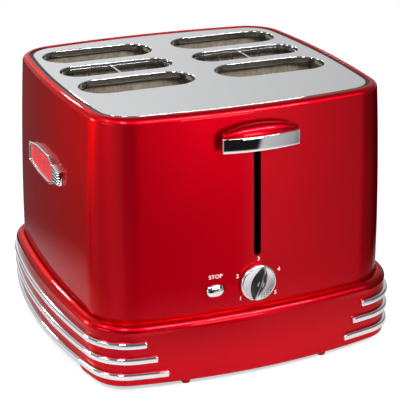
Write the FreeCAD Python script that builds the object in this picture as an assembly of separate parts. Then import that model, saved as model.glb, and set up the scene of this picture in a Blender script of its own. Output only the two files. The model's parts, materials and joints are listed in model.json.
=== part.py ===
"""Retro pop-up hot dog toaster: bun slots front and rear, hot dog cages between them.

Millimetres, +Z up, front towards -Y, origin under the middle of the footprint.
Inside the functions y = 0 is the middle of the body; save() moves every piece by the
same amount so that the origin lies midway between the lever and the back of the skirt.
"""
import FreeCAD
import Part
import math
import os

V = FreeCAD.Vector

# How far a cutting block runs past the face that it opens, and how near counts as touching
PAST = 1.0
TOUCH = 0.01

# Openings of the top plate: three rows, each with a left and a right opening
SLOT_INNER_X = 11.0
SLOT_LENGTH = 103.0
BUN_SLOT_WIDTH = 42.0
DOG_SLOT_WIDTH = 34.0
ROW_GAP = 13.0
FRONT_BAY_DEPTH = 90.0
REAR_MARGIN = 36.0
SIDE_MARGIN = 26.0
LIP_THICK = 1.2
LIP_DEPTH = 4.0

# Body shell: bowed rounded rectangle, narrower at the top, with a slight belly halfway up
BODY_BOW_FRONT = 12.0
BODY_BOW_SIDE = 9.0
BODY_CORNER = 42.0
BODY_TAPER = 6.0
BODY_BELLY = 1.6
SHELL_WALL = 1.2
RIM_Z = 233.0
RIM_FILLET = 5.5
RIM_FLAT = 1.0
RIM_INNER_ROUND = 0.7
LEDGE_WIDTH = 7.0

# Base skirt: wider at the floor than at its rounded shoulder
SKIRT_BOTTOM_Z = 6.0
SKIRT_TOP_Z = 60.5
SKIRT_FLARE = 11.0
SKIRT_BOW_FRONT = 17.0
SKIRT_BOW_SIDE = 19.5
SKIRT_CORNER = 31.0
SHOULDER_STEP = 8.0
SHOULDER_BOW_FRONT = 13.0
SHOULDER_BOW_SIDE = 11.0
SHOULDER_CORNER = 46.0
SHOULDER_FILLET = 6.5
SKIRT_WALL = 2.5
SKIRT_RING_HEIGHT = 12.0
SKIRT_FOOT_ROUND = 1.8
SIDE_ARCH_HALF = 94.0
SIDE_ARCH_SLOPE = 10.0
SIDE_ARCH_HEIGHT = 5.8
SHELL_SEAT_DEPTH = 8.5
SHELL_SEAT_WIDTH = 6.0
SHELL_GAP = 0.3

# Chrome strips round both sides of the skirt
STRIP_HEIGHT = 6.0
STRIP_PROUD = 3.0
STRIP_SUNK = 1.0
STRIP_ROUND = 1.5
STRIP_END_ROUND = 1.8
STRIP_FOOT = 9.8
STRIP_PITCH = 14.0
STRIP_LOWEST_END_X = 81.5
STRIP_END_STEP_X = 9.0
STRIP_REAR_END_INSET = 21.0

# Top plate and gasket
PLATE_GAP = 3.2
PLATE_THICK = 1.6
PLATE_BELOW_RIM = 0.6
PLATE_EDGE_ROUND = 0.5
GASKET_FLANGE = 1.5
GASKET_BELOW_PLATE = 0.5

# Bottom cover, feet, screws
COVER_THICK = 2.0
COVER_RECESS = 2.0
COVER_GAP = 0.3
VENT_COUNT = 7
VENT_WIDTH = 5.0
VENT_LENGTH = 70.0
VENT_PITCH = 14.0
FOOT_R = 4.6
FOOT_TOE_R = 3.8
FOOT_X = 64.0
FOOT_INSET = 2.5
SCREW_INSET_X = 10.0
SCREW_INSET_Y = 43.0
SCREW_R = 1.6
SCREW_HEAD_R = 3.2
SCREW_HEAD = 1.6
SCREW_LENGTH = 13.0
SCREW_TIP_ROOM = 1.0
SCREW_BOSS_R = 4.5

# Crumb tray, pulled out at the back on two rails
TRAY_INSET_X = 13.4
TRAY_INSET_Y = 3.0
TRAY_HEIGHT = 11.0
TRAY_SHEET = 1.0
TRAY_RAIL_X = 60.0
TRAY_RAIL_WIDTH = 3.0
TRAY_RAIL_HEIGHT = 3.6
TRAY_RAIL_GAP = 0.2
TRAY_RAIL_REAR_INSET = 10.0
TRAY_DOOR_DROP = 1.3
TRAY_DOOR_RISE = 3.7
TRAY_DOOR_GAP = 0.5
TRAY_DOOR_MARGIN = 2.0
TRAY_NOTCH_R = 14.0
TRAY_NOTCH_DEPTH = 8.0

# Toasting chamber
SHEET = 1.2
FLOOR_ABOVE_TRAY = 11.2
CENTRE_WALL_X = 7.4
END_PLATE_GAP = 2.4
BOARD_THICK = 1.0
BOARD_GAP = 5.0
BOARD_TOP_GAP = 3.0
RIBBON_COUNT = 8
RIBBON_HEIGHT = 2.0
RIBBON_THICK = 0.35
RIBBON_LOW_GAP = 20.8
RIBBON_TOP_GAP = 25.0
RIBBON_END_GAP = 7.0
GUARD_WIRE_R = 0.9
GUARD_INSET = 2.5
GUARD_COUNT = 5
GUARD_LOW_GAP = 22.8
GUARD_TOP_GAP = 12.0
BRIDGE_THICK = 3.2
TONGUE_HALF_X = 12.0
ROD_END_MARGIN = 8.0

# Control board and its largest parts
CONTROL_BOARD_SETBACK = 21.0
CONTROL_BOARD_THICK = 1.6
CONTROL_BOARD_ABOVE_KNOB = 22.0
CONTROL_BOARD_LEFT_X = -66.0
CONTROL_BOARD_RIGHT_X = 40.0
CAPACITOR_R = 5.0
CAPACITOR_LENGTH = 12.0
CAPACITOR_EDGE = 4.0
RELAY_SIZE = 16.0

# Lift carriage and lever arm
SPINE_FLOOR_GAP = 1.8
SPINE_THICK = 3.0
SPINE_HEIGHT = 8.0
ROD_R = 2.5
ROD_CLEARANCE = 0.05
BOSS_R = 5.0
BOSS_HEIGHT = 14.0
BRACKET_BOARD_GAP = 4.4
BRACKET_DEPTH = 10.0
FRONT_ROD_SETBACK = 10.0
REAR_ROD_SETBACK = 11.2
TONGUE_BELOW_RIM = 21.0
TONGUE_HEIGHT = 8.0
LEVER_SLOT_WIDTH = 6.5
LEVER_SLOT_ABOVE_KNOB = 7.8
LEVER_SLOT_TOP_GAP = 2.0
LEVER_SLOT_LOW_GAP = 4.0
LIFTER_THICK = 1.2
LIFTER_NECK = 9.0
LIFTER_NECK_MARGIN = 3.0
LIFTER_WIDTH = 16.0
LIFTER_END_GAP = 4.0
LIFTER_FINGER = 4.0
LIFTER_FINGER_COUNT = 5
FINGER_SIDE_GAP = 6.0
LIFTER_LIP = 3.0
WINDOW_CLEARANCE = 1.5

# Lever handle
HANDLE_GAP = 1.0
HANDLE_HALF_X = 33.5
HANDLE_END_DEPTH = 2.8
HANDLE_BOW = 4.2
HANDLE_HEIGHT = 22.0
HANDLE_CREST_ABOVE_TONGUE = 10.5
HANDLE_CREST_DROP = 6.7
HANDLE_BROW_RUN = 0.35
HANDLE_BROW_RISE = 0.7
BAND_THICK = 1.4
BAND_HEIGHT = 12.5
BAND_BACK_GAP = 1.5
TONGUE_GRIP = 4.2

# Return spring between the top bridge and the carriage
SPRING_SETBACK = 16.0
SPRING_LEG = 4.0
SPRING_R = 3.6
SPRING_WIRE_R = 0.6
SPRING_TURNS = 9

# Timer knob, its shaft and the potentiometer behind it
KNOB_ABOVE_SKIRT = 21.5
KNOB_R = 16.2
KNOB_GAP = 1.0
KNOB_BASE = 3.5
KNOB_EDGE_ROUND = 1.6
KNOB_GRIP_LENGTH = 30.6
KNOB_GRIP_WIDTH = 13.0
KNOB_GRIP_HEIGHT = 5.8
KNOB_RIDGE_LENGTH = 29.6
KNOB_RIDGE_WIDTH = 0.9
KNOB_START_ANGLE = -161.0
SHAFT_R = 3.0
SHAFT_CLEARANCE = 0.05
SHAFT_IN_KNOB = 6.5
SHAFT_HOLE_R = 6.0
POT_SIZE = 17.0
POT_DEPTH = 9.0
POT_BUSH_R = 4.6
POT_BUSH_LENGTH = 8.0
POT_BORE_IN_BODY = 2.0

# Stop button and its switch
STOP_X = -38.0
STOP_BELOW_KNOB = 2.0
STOP_WIDTH = 16.4
STOP_HEIGHT = 12.0
STOP_PROUD = 3.2
STOP_DOME = 2.0
STOP_TRAVEL = 2.5
STOP_HOLE_CLEARANCE = 0.4
STOP_FLANGE = 1.5
STOP_FLANGE_THICK = 1.2
STOP_FLANGE_GAP = 1.2
STOP_STEM_R = 2.5
STOP_STEM_LENGTH = 11.0
STOP_STEM_GUIDED = 5.0
STOP_GUIDE_R = 5.0
STOP_SWITCH_GAP = 0.5

# Hot dog cages
CAGE_CLEARANCE = 1.6
CAGE_BAND = 1.2
CAGE_BAND_HEIGHT = 2.4
CAGE_WIRE_R = 0.9
CAGE_TOP_BELOW_RIM = 3.0
CAGE_BAR = 1.8
CAGE_SIDE_WIRES = 6

# Latch magnet and keeper
KEEPER_HALF_X = 12.0
KEEPER_HEIGHT = 3.0
MAGNET_HALF_X = 9.0
MAGNET_HALF_Y = 6.0
MAGNET_SETBACK = 2.0
MAGNET_YOKE = 3.0
MAGNET_GAP = 0.5
MAGNET_COIL_R = 7.0
MAGNET_POLE_R = 3.5
MAGNET_POLE = 3.0

# Badge on the left side
BADGE_REAR_Y = 41.5
BADGE_LENGTH = 68.5
BADGE_BELOW_RIM = 72.0
BADGE_HALF_HEIGHT = 13.0
BADGE_END_HALF_HEIGHT = 8.7
BADGE_SHOULDER = 24.0
BADGE_THICK = 4.0
BADGE_RIM = 2.6
BADGE_CHAMFER = 1.0
BADGE_INSERT_DEPTH = 1.2
BADGE_END_LENGTH = 14.0
BADGE_END_TIP_HALF_HEIGHT = 6.0
BADGE_GROOVES = 5
BADGE_GROOVE_R = 1.1

# Cord gland at the back
GLAND_INSET_X = 48.0
GLAND_ABOVE_SKIRT = 23.5
GLAND_BORE_R = 4.0
GLAND_NECK_ACROSS = 13.0
GLAND_FLANGE_R = 9.0
GLAND_FLANGE = 2.5
GLAND_INNER_LENGTH = 5.0

# Places across the width and from front to back, worked out from the openings
SLOT_OUTER_X = SLOT_INNER_X + SLOT_LENGTH
BODY_HALF_X = SLOT_OUTER_X + SIDE_MARGIN
BODY_HALF_Y = (FRONT_BAY_DEPTH + 2 * BUN_SLOT_WIDTH + DOG_SLOT_WIDTH + 2 * ROW_GAP + REAR_MARGIN) / 2
FRONT_ROW_Y = FRONT_BAY_DEPTH + BUN_SLOT_WIDTH / 2 - BODY_HALF_Y
MIDDLE_ROW_Y = FRONT_ROW_Y + BUN_SLOT_WIDTH / 2 + ROW_GAP + DOG_SLOT_WIDTH / 2
REAR_ROW_Y = MIDDLE_ROW_Y + DOG_SLOT_WIDTH / 2 + ROW_GAP + BUN_SLOT_WIDTH / 2
SKIRT_HALF_X = BODY_HALF_X + SKIRT_FLARE
SKIRT_HALF_Y = BODY_HALF_Y + SKIRT_FLARE
END_PLATE_X = SLOT_OUTER_X + END_PLATE_GAP
LIFTER_OUTER_X = SLOT_OUTER_X - LIFTER_END_GAP
FRONT_SHIELD_Y = FRONT_ROW_Y - BUN_SLOT_WIDTH / 2 - 2 * BOARD_GAP - SHEET
REAR_SHIELD_Y = REAR_ROW_Y + BUN_SLOT_WIDTH / 2 + 2 * BOARD_GAP + SHEET
BOARD_FRONT_Y = CONTROL_BOARD_SETBACK - BODY_HALF_Y
BRACKET_FRONT_Y = BOARD_FRONT_Y + CONTROL_BOARD_THICK + BRACKET_BOARD_GAP
FRONT_ROD_Y = BRACKET_FRONT_Y + BRACKET_DEPTH + FRONT_ROD_SETBACK
REAR_ROD_Y = REAR_SHIELD_Y - REAR_ROD_SETBACK
SPRING_Y = FRONT_ROD_Y + SPRING_SETBACK
HANDLE_BACK_Y = -BODY_HALF_Y - HANDLE_GAP
HANDLE_END_Y = HANDLE_BACK_Y - HANDLE_END_DEPTH
HANDLE_FRONT_Y = HANDLE_END_Y - HANDLE_BOW
LEVER_REACH = -HANDLE_FRONT_Y + BAND_THICK
ORIGIN_SHIFT = V(0, (max(LEVER_REACH, SKIRT_HALF_Y) - SKIRT_HALF_Y) / 2, 0)
TRAY_HALF_X = END_PLATE_X - TRAY_INSET_X
TRAY_FRONT_Y = FRONT_SHIELD_Y + SHEET + TRAY_INSET_Y
BADGE_FRONT_Y = BADGE_REAR_Y - BADGE_LENGTH

# Levels, from the feet up
SHELL_BASE_Z = SKIRT_TOP_Z - SHELL_SEAT_DEPTH
SKIRT_RING_Z = SKIRT_TOP_Z - SKIRT_RING_HEIGHT
COVER_LOW_Z = SKIRT_BOTTOM_Z + COVER_RECESS
COVER_TOP_Z = COVER_LOW_Z + COVER_THICK
TRAY_LOW_Z = COVER_TOP_Z + TRAY_RAIL_HEIGHT + TRAY_RAIL_GAP
TRAY_TOP_Z = TRAY_LOW_Z + TRAY_HEIGHT
TRAY_DOOR_LOW_Z = TRAY_LOW_Z - TRAY_DOOR_DROP
TRAY_DOOR_HIGH_Z = TRAY_TOP_Z + TRAY_DOOR_RISE
FLOOR_Z = TRAY_TOP_Z + FLOOR_ABOVE_TRAY
FLOOR_TOP_Z = FLOOR_Z + SHEET
RECESS_INSET = BODY_TAPER + RIM_FILLET + RIM_FLAT
PLATE_INSET = RECESS_INSET + PLATE_GAP
PLATE_TOP_Z = RIM_Z - PLATE_BELOW_RIM
PLATE_LOW_Z = PLATE_TOP_Z - PLATE_THICK
LEDGE_Z = PLATE_LOW_Z - GASKET_FLANGE
BRIDGE_LOW_Z = PLATE_LOW_Z - BRIDGE_THICK
KNOB_Z = SKIRT_TOP_Z + KNOB_ABOVE_SKIRT
STOP_Z = KNOB_Z - STOP_BELOW_KNOB
GLAND_Z = SKIRT_TOP_Z + GLAND_ABOVE_SKIRT
GLAND_X = GLAND_INSET_X - BODY_HALF_X
BADGE_Z = RIM_Z - BADGE_BELOW_RIM

# The lever slot ends above the knob, and its length sets the carriage's travel
TONGUE_HIGH_Z = RIM_Z - TONGUE_BELOW_RIM
TONGUE_LOW_Z = TONGUE_HIGH_Z - TONGUE_HEIGHT
LEVER_SLOT_TOP_Z = TONGUE_HIGH_Z + LEVER_SLOT_TOP_GAP
LEVER_SLOT_BOTTOM_Z = KNOB_Z + KNOB_R + LEVER_SLOT_ABOVE_KNOB
LIFT_TRAVEL = TONGUE_LOW_Z - LEVER_SLOT_LOW_GAP - LEVER_SLOT_BOTTOM_Z
SPINE_LOW_Z = FLOOR_TOP_Z + SPINE_FLOOR_GAP + LIFT_TRAVEL
SPINE_TOP_Z = SPINE_LOW_Z + SPINE_HEIGHT
LIFTER_TOP_Z = SPINE_TOP_Z + LIFTER_THICK
HANDLE_CREST_Z = TONGUE_HIGH_Z + HANDLE_CREST_ABOVE_TONGUE
HANDLE_BOTTOM_Z = HANDLE_CREST_Z - HANDLE_HEIGHT

ROWS = (("front", FRONT_ROW_Y, BUN_SLOT_WIDTH),
        ("middle", MIDDLE_ROW_Y, DOG_SLOT_WIDTH),
        ("rear", REAR_ROW_Y, BUN_SLOT_WIDTH))
SIDES = (("left", -1), ("right", 1))


class Plan:
    """Plan outline: four long bowed arcs joined by four tangent corner arcs."""

    def __init__(self, half_x, half_y, bow_front, bow_side, corner):
        self.values = (half_x, half_y, bow_front, bow_side, corner)
        reach_x = half_x - bow_side
        reach_y = half_y - bow_front
        self.half_x = half_x
        self.half_y = half_y
        self.corner = corner
        self.r_front = (reach_x ** 2 + bow_front ** 2) / (2 * bow_front)
        self.r_side = (reach_y ** 2 + bow_side ** 2) / (2 * bow_side)
        self.front_centre = V(0, self.r_front - half_y, 0)
        self.side_centre = V(self.r_side - half_x, 0, 0)
        self.corner_centre = self.find_corner_centre()

    def find_corner_centre(self):
        """Point that lies one corner radius inside the front arc and the left arc."""
        r1 = self.r_front - self.corner
        r2 = self.r_side - self.corner
        apart = self.side_centre - self.front_centre
        gap = apart.Length
        along = (r1 ** 2 - r2 ** 2 + gap ** 2) / (2 * gap)
        across = math.sqrt(r1 ** 2 - along ** 2)
        unit = apart / gap
        normal = V(-unit.y, unit.x, 0)
        foot = self.front_centre + unit * along
        found = [foot + normal * across, foot - normal * across]
        return min(found, key=lambda p: p.x + p.y)

    def front_y(self, x, grow=0.0):
        """Y of the front face at x, on the outline moved outwards by grow."""
        return self.front_centre.y - math.sqrt((self.r_front + grow) ** 2 - x ** 2)

    def side_x(self, y, grow=0.0):
        """X of the left face at y, on the outline moved outwards by grow."""
        return self.side_centre.x - math.sqrt((self.r_side + grow) ** 2 - y ** 2)

    def wire(self, grow, z):
        """Closed outline at height z, moved outwards by grow."""
        centre = self.corner_centre
        to_front = (centre - self.front_centre).normalize()
        to_side = (centre - self.side_centre).normalize()
        touch_front = self.front_centre + to_front * (self.r_front + grow)
        touch_side = self.side_centre + to_side * (self.r_side + grow)
        middle = centre + (to_front + to_side).normalize() * (self.corner + grow)
        fx, fy = -touch_front.x, -touch_front.y
        sx, sy = -touch_side.x, -touch_side.y
        mx, my = -middle.x, -middle.y
        top_x = self.half_x + grow
        top_y = self.half_y + grow
        stations = [(-fx, -fy), (0, -top_y), (fx, -fy), (mx, -my), (sx, -sy), (top_x, 0),
                    (sx, sy), (mx, my), (fx, fy), (0, top_y), (-fx, fy), (-mx, my),
                    (-sx, sy), (-top_x, 0), (-sx, -sy), (-mx, -my), (-fx, -fy)]
        points = [V(x, y, z) for x, y in stations]
        arcs = [Part.Arc(points[i], points[i + 1], points[i + 2]) for i in range(0, 16, 2)]
        return Part.Wire([arc.toShape() for arc in arcs])


BODY = Plan(BODY_HALF_X, BODY_HALF_Y, BODY_BOW_FRONT, BODY_BOW_SIDE, BODY_CORNER)
FOOTLINE = Plan(SKIRT_HALF_X, SKIRT_HALF_Y, SKIRT_BOW_FRONT, SKIRT_BOW_SIDE, SKIRT_CORNER)
SHOULDER = Plan(BODY_HALF_X + SHOULDER_STEP, BODY_HALF_Y + SHOULDER_STEP,
                SHOULDER_BOW_FRONT, SHOULDER_BOW_SIDE, SHOULDER_CORNER)


def box(x0, x1, y0, y1, z0, z1):
    """Block between two opposite corners."""
    return Part.makeBox(x1 - x0, y1 - y0, z1 - z0, V(x0, y0, z0))


def rod_z(x, y, z0, z1, radius):
    """Upright round bar."""
    return Part.makeCylinder(radius, z1 - z0, V(x, y, z0), V(0, 0, 1))


def rod_y(x, z, y0, y1, radius):
    """Round bar from front to back."""
    return Part.makeCylinder(radius, y1 - y0, V(x, y0, z), V(0, 1, 0))


def hex_rod_y(x, z, y0, y1, across):
    """Hexagonal bar from front to back, given its width across flats."""
    corner = across / math.sqrt(3)
    turns = [math.radians(60 * i) for i in range(7)]
    ring = Part.makePolygon([V(x + corner * math.cos(t), y0, z + corner * math.sin(t)) for t in turns])
    return Part.Face(ring).extrude(V(0, y1 - y0, 0))


def rod_x(y, z, x0, x1, radius):
    """Round bar from left to right."""
    return Part.makeCylinder(radius, x1 - x0, V(x0, y, z), V(1, 0, 0))


def polygon(points):
    """Flat face with straight edges through the points."""
    return Part.Face(Part.makePolygon(points + points[:1]))


def rounded_block(x0, x1, y0, y1, z0, z1, radius):
    """Upright prism on a rounded rectangle; full radius gives round ends."""
    largest = min(x1 - x0, y1 - y0) / 2 - TOUCH
    radius = min(radius, largest)
    block = box(x0, x1, y0, y1, z0, z1)
    upright = [e for e in block.Edges if abs(e.Vertexes[0].Z - e.Vertexes[-1].Z) > (z1 - z0) / 2]
    return block.makeFillet(radius, upright)


def mirrored_x(shape):
    """Copy of the shape on the other side of the x = 0 plane."""
    return shape.mirror(V(0, 0, 0), V(1, 0, 0))


def plan_prism(plan, grow, z0, z1):
    """Upright prism on a plan outline."""
    return Part.Face(plan.wire(grow, z0)).extrude(V(0, 0, z1 - z0))


def plan_loft(low_plan, low_grow, z0, high_plan, high_grow, z1):
    """Solid with straight walls from one plan outline up to another."""
    return Part.makeLoft([low_plan.wire(low_grow, z0), high_plan.wire(high_grow, z1)], True, True)


def edges_at(shape, z):
    """Edges that lie wholly at height z."""
    return [e for e in shape.Edges
            if abs(e.BoundBox.ZMin - z) < TOUCH and abs(e.BoundBox.ZMax - z) < TOUCH]


def edges_at_y(shape, y):
    """Edges that lie wholly in the plane at y."""
    return [e for e in shape.Edges
            if abs(e.BoundBox.YMin - y) < TOUCH and abs(e.BoundBox.YMax - y) < TOUCH]


def taper_at(z):
    """How far the body wall has moved inwards at height z: a straight taper less a belly."""
    share = (z - SHELL_BASE_Z) / (RIM_Z - SHELL_BASE_Z)
    return BODY_TAPER * share - 4 * BODY_BELLY * share * (1 - share)


def body_block(grow):
    """Solid on the body's bellied outline, moved outwards by grow."""
    levels = (SHELL_BASE_Z, (SHELL_BASE_Z + RIM_Z) / 2, RIM_Z)
    return Part.makeLoft([BODY.wire(grow - taper_at(z), z) for z in levels], True, False)


def body_front_y(x, z):
    """Y of the body's front face."""
    return BODY.front_y(x, -taper_at(z))


def skirt_plan_at(z):
    """Outline of the skirt at height z, between the foot line and the shoulder."""
    share = (z - SKIRT_BOTTOM_Z) / (SKIRT_TOP_Z - SKIRT_BOTTOM_Z)
    pairs = zip(FOOTLINE.values, SHOULDER.values)
    return Plan(*[low + (high - low) * share for low, high in pairs])


def slot_block(side, y, width, z0, z1, grow=0.0):
    """Round-ended prism on one opening of the top plate."""
    x0 = SLOT_INNER_X - grow
    x1 = SLOT_OUTER_X + grow
    y0 = y - width / 2 - grow
    y1 = y + width / 2 + grow
    block = rounded_block(x0, x1, y0, y1, z0, z1, width / 2 + grow)
    return block if side > 0 else mirrored_x(block)


def save(name, shape):
    """Write one piece, moved so that the origin is under the footprint's middle."""
    placed = shape.copy()
    placed.translate(ORIGIN_SHIFT)
    placed.exportStep("parts/" + name + ".step")
    return placed


# ---------------------------------------------------------------- outer housing

def body_cavity():
    """Room inside the shell, with the rim's channel round the recess wall."""
    top = RIM_Z - SHELL_WALL
    room = body_block(-SHELL_WALL)
    room = room.common(plan_prism(BODY, PAST, SHELL_BASE_Z - PAST, top))
    room = room.makeFillet(RIM_FILLET - SHELL_WALL, edges_at(room, top))
    under_ledge = LEDGE_Z - SHELL_WALL
    return room.cut(plan_prism(BODY, SHELL_WALL - RECESS_INSET, under_ledge, RIM_Z))


def stop_hole(grow, y0, y1):
    """Oval block on the stop button's outline."""
    half_z = STOP_HEIGHT / 2 + grow
    half_x = STOP_WIDTH / 2 + grow
    reach = half_x - half_z
    oval = box(STOP_X - reach, STOP_X + reach, y0, y1, STOP_Z - half_z, STOP_Z + half_z)
    for x in (STOP_X - reach, STOP_X + reach):
        oval = oval.fuse(rod_y(x, STOP_Z, y0, y1, half_z))
    return oval.removeSplitter()


def make_body_shell():
    """Painted sheet body: rounded rim, recess for the top plate, front and rear holes."""
    shell = body_block(0)
    shell = shell.makeFillet(RIM_FILLET, edges_at(shell, RIM_Z))
    shell = shell.cut(body_cavity())
    shell = shell.cut(plan_prism(BODY, -RECESS_INSET, LEDGE_Z, RIM_Z + PAST))
    inner_rim = [e for e in edges_at(shell, RIM_Z) if e.BoundBox.XMax < BODY_HALF_X - RECESS_INSET + TOUCH]
    shell = shell.makeFillet(RIM_INNER_ROUND, inner_rim)
    shell = shell.cut(plan_prism(BODY, -RECESS_INSET - LEDGE_WIDTH, SHELL_BASE_Z - PAST, RIM_Z + PAST))
    half = LEVER_SLOT_WIDTH / 2
    front = -SKIRT_HALF_Y
    back = BOARD_FRONT_Y
    slot = box(-half, half, front, back, LEVER_SLOT_BOTTOM_Z + half, LEVER_SLOT_TOP_Z - half)
    for z in (LEVER_SLOT_BOTTOM_Z + half, LEVER_SLOT_TOP_Z - half):
        slot = slot.fuse(rod_y(0, z, front, back, half))
    shell = shell.cut(slot)
    shell = shell.cut(rod_y(0, KNOB_Z, front, back, SHAFT_HOLE_R))
    shell = shell.cut(stop_hole(STOP_HOLE_CLEARANCE, front, back))
    return shell.cut(hex_rod_y(GLAND_X, GLAND_Z, REAR_SHIELD_Y, SKIRT_HALF_Y, GLAND_NECK_ACROSS))


def strip_z(level):
    """Height of a strip: level 0 is the lowest."""
    return SKIRT_BOTTOM_Z + STRIP_FOOT + STRIP_PITCH * level


def strip_reach(tip, far, y0, y1, low, high):
    """Block that limits a strip, with rounded corners where the strip ends."""
    block = box(tip, far, y0, y1, low, high)
    corners = [e for e in block.Edges if abs(e.BoundBox.XMax - tip) < TOUCH and e.BoundBox.YLength > far / 2]
    return block.makeFillet(STRIP_END_ROUND, corners)


def make_strip(level):
    """One rounded chrome strip on the right side, front end to rear corner."""
    z = strip_z(level)
    plan = skirt_plan_at(z)
    low = z - STRIP_HEIGHT / 2
    high = z + STRIP_HEIGHT / 2
    solid = plan_prism(plan, STRIP_PROUD, low, high)
    solid = solid.makeFillet(STRIP_ROUND, edges_at(solid, low) + edges_at(solid, high))
    ring = solid.cut(plan_prism(plan, -STRIP_SUNK, low - PAST, high + PAST))
    front_tip = STRIP_LOWEST_END_X + STRIP_END_STEP_X * level
    rear_tip = BODY_HALF_X - STRIP_REAR_END_INSET
    far = 2 * SKIRT_HALF_X
    keep = strip_reach(front_tip, far, -far, 0, low, high)
    return ring.common(keep.fuse(strip_reach(rear_tip, far, 0, far, low, high)))


def skirt_room(wall):
    """Space inside the skirt, below its top ring, with the given wall left."""
    room = plan_loft(FOOTLINE, -wall, SKIRT_BOTTOM_Z, SHOULDER, -wall, SKIRT_TOP_Z)
    return room.common(plan_prism(FOOTLINE, PAST, SKIRT_BOTTOM_Z - PAST, SKIRT_RING_Z))


def screw_places():
    """The four corner screws."""
    x_far = BODY_HALF_X - SCREW_INSET_X
    y_far = BODY_HALF_Y - SCREW_INSET_Y
    return [(x, y) for x in (-x_far, x_far) for y in (-y_far, y_far)]


def tray_door_block(gap):
    """Block on the tray door's outline, made smaller by gap all round."""
    half = TRAY_HALF_X + TRAY_DOOR_MARGIN - gap
    return box(-half, half, 0, SKIRT_HALF_Y + PAST, TRAY_DOOR_LOW_Z + gap, TRAY_DOOR_HIGH_Z - gap)


def side_arches():
    """Low arches in the base's lower edge between the corners of both sides."""
    low = SKIRT_BOTTOM_Z - PAST
    high = SKIRT_BOTTOM_Z + SIDE_ARCH_HEIGHT
    wide = SIDE_ARCH_HALF
    narrow = SIDE_ARCH_HALF - SIDE_ARCH_SLOPE
    far = 2 * SKIRT_HALF_X
    outline = polygon([V(-far, -wide, low), V(-far, -narrow, high), V(-far, narrow, high), V(-far, wide, low)])
    return outline.extrude(V(2 * far, 0, 0))


def make_base_skirt(strips):
    """Moulded base: flared wall, rounded shoulder, side arches, seat for the shell, strip grooves."""
    skirt = plan_loft(FOOTLINE, 0, SKIRT_BOTTOM_Z, SHOULDER, 0, SKIRT_TOP_Z)
    skirt = skirt.makeFillet(SHOULDER_FILLET, edges_at(skirt, SKIRT_TOP_Z))
    skirt = skirt.makeFillet(SKIRT_FOOT_ROUND, edges_at(skirt, SKIRT_BOTTOM_Z))
    skirt = skirt.cut(skirt_room(SKIRT_WALL)).cut(side_arches())
    skirt = skirt.cut(plan_prism(BODY, SHELL_GAP, SHELL_BASE_Z, SKIRT_TOP_Z + PAST))
    skirt = skirt.cut(plan_prism(BODY, -SHELL_SEAT_WIDTH, SKIRT_RING_Z - PAST, SKIRT_TOP_Z))
    hole_top = COVER_LOW_Z + SCREW_LENGTH + SCREW_TIP_ROOM
    for x, y in screw_places():
        skirt = skirt.fuse(rod_z(x, y, COVER_TOP_Z, SKIRT_RING_Z, SCREW_BOSS_R))
    for x, y in screw_places():
        skirt = skirt.cut(rod_z(x, y, COVER_LOW_Z - PAST, hole_top, SCREW_R))
    skirt = skirt.cut(tray_door_block(0))
    for strip in strips:
        skirt = skirt.cut(strip)
    return skirt


def foot_places():
    """The four feet."""
    y_far = BODY_HALF_Y - FOOT_INSET
    return [(x, y) for x in (-FOOT_X, FOOT_X) for y in (-y_far, y_far)]


def make_bottom_cover():
    """Flat cover inside the skirt with vents, tray rails and screw holes."""
    plan = skirt_plan_at(COVER_LOW_Z)
    cover = plan_prism(plan, -SKIRT_WALL - COVER_GAP, COVER_LOW_Z, COVER_TOP_Z)
    rail_top = COVER_TOP_Z + TRAY_RAIL_HEIGHT
    rail_rear = BODY_HALF_Y - TRAY_RAIL_REAR_INSET
    for x in (-TRAY_RAIL_X, TRAY_RAIL_X):
        half = TRAY_RAIL_WIDTH / 2
        cover = cover.fuse(box(x - half, x + half, TRAY_FRONT_Y, rail_rear, COVER_TOP_Z, rail_top))
    first = -VENT_PITCH * (VENT_COUNT - 1) / 2
    for i in range(VENT_COUNT):
        x = first + VENT_PITCH * i
        vent = rounded_block(x - VENT_WIDTH / 2, x + VENT_WIDTH / 2, -VENT_LENGTH / 2, VENT_LENGTH / 2,
                             COVER_LOW_Z - PAST, COVER_TOP_Z + PAST, VENT_WIDTH / 2)
        cover = cover.cut(vent)
    for x, y in screw_places():
        cover = cover.cut(rod_z(x, y, COVER_LOW_Z - PAST, COVER_TOP_Z + PAST, SCREW_R))
    return cover


def make_feet():
    """Four small tapered feet under the cover's front and rear edges."""
    feet = [Part.makeCone(FOOT_TOE_R, FOOT_R, COVER_LOW_Z, V(x, y, 0), V(0, 0, 1))
            for x, y in foot_places()]
    return Part.makeCompound(feet)


def make_bottom_screws():
    """Four cover screws with their heads under the cover."""
    screws = []
    for x, y in screw_places():
        shank = rod_z(x, y, COVER_LOW_Z, COVER_LOW_Z + SCREW_LENGTH, SCREW_R)
        head = rod_z(x, y, COVER_LOW_Z - SCREW_HEAD, COVER_LOW_Z, SCREW_HEAD_R)
        screws.append(shank.fuse(head))
    return Part.makeCompound(screws)


def make_top_plate():
    """Polished plate with six round-ended openings and their turned-down lips."""
    plate = plan_prism(BODY, -PLATE_INSET, PLATE_LOW_Z, PLATE_TOP_Z)
    plate = plate.makeFillet(PLATE_EDGE_ROUND, edges_at(plate, PLATE_TOP_Z))
    for name, y, width in ROWS:
        for side_name, side in SIDES:
            plate = plate.fuse(slot_block(side, y, width, PLATE_LOW_Z - LIP_DEPTH, PLATE_LOW_Z, LIP_THICK))
    for name, y, width in ROWS:
        for side_name, side in SIDES:
            plate = plate.cut(slot_block(side, y, width, PLATE_LOW_Z - LIP_DEPTH - PAST, RIM_Z + PAST))
    return plate


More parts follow.
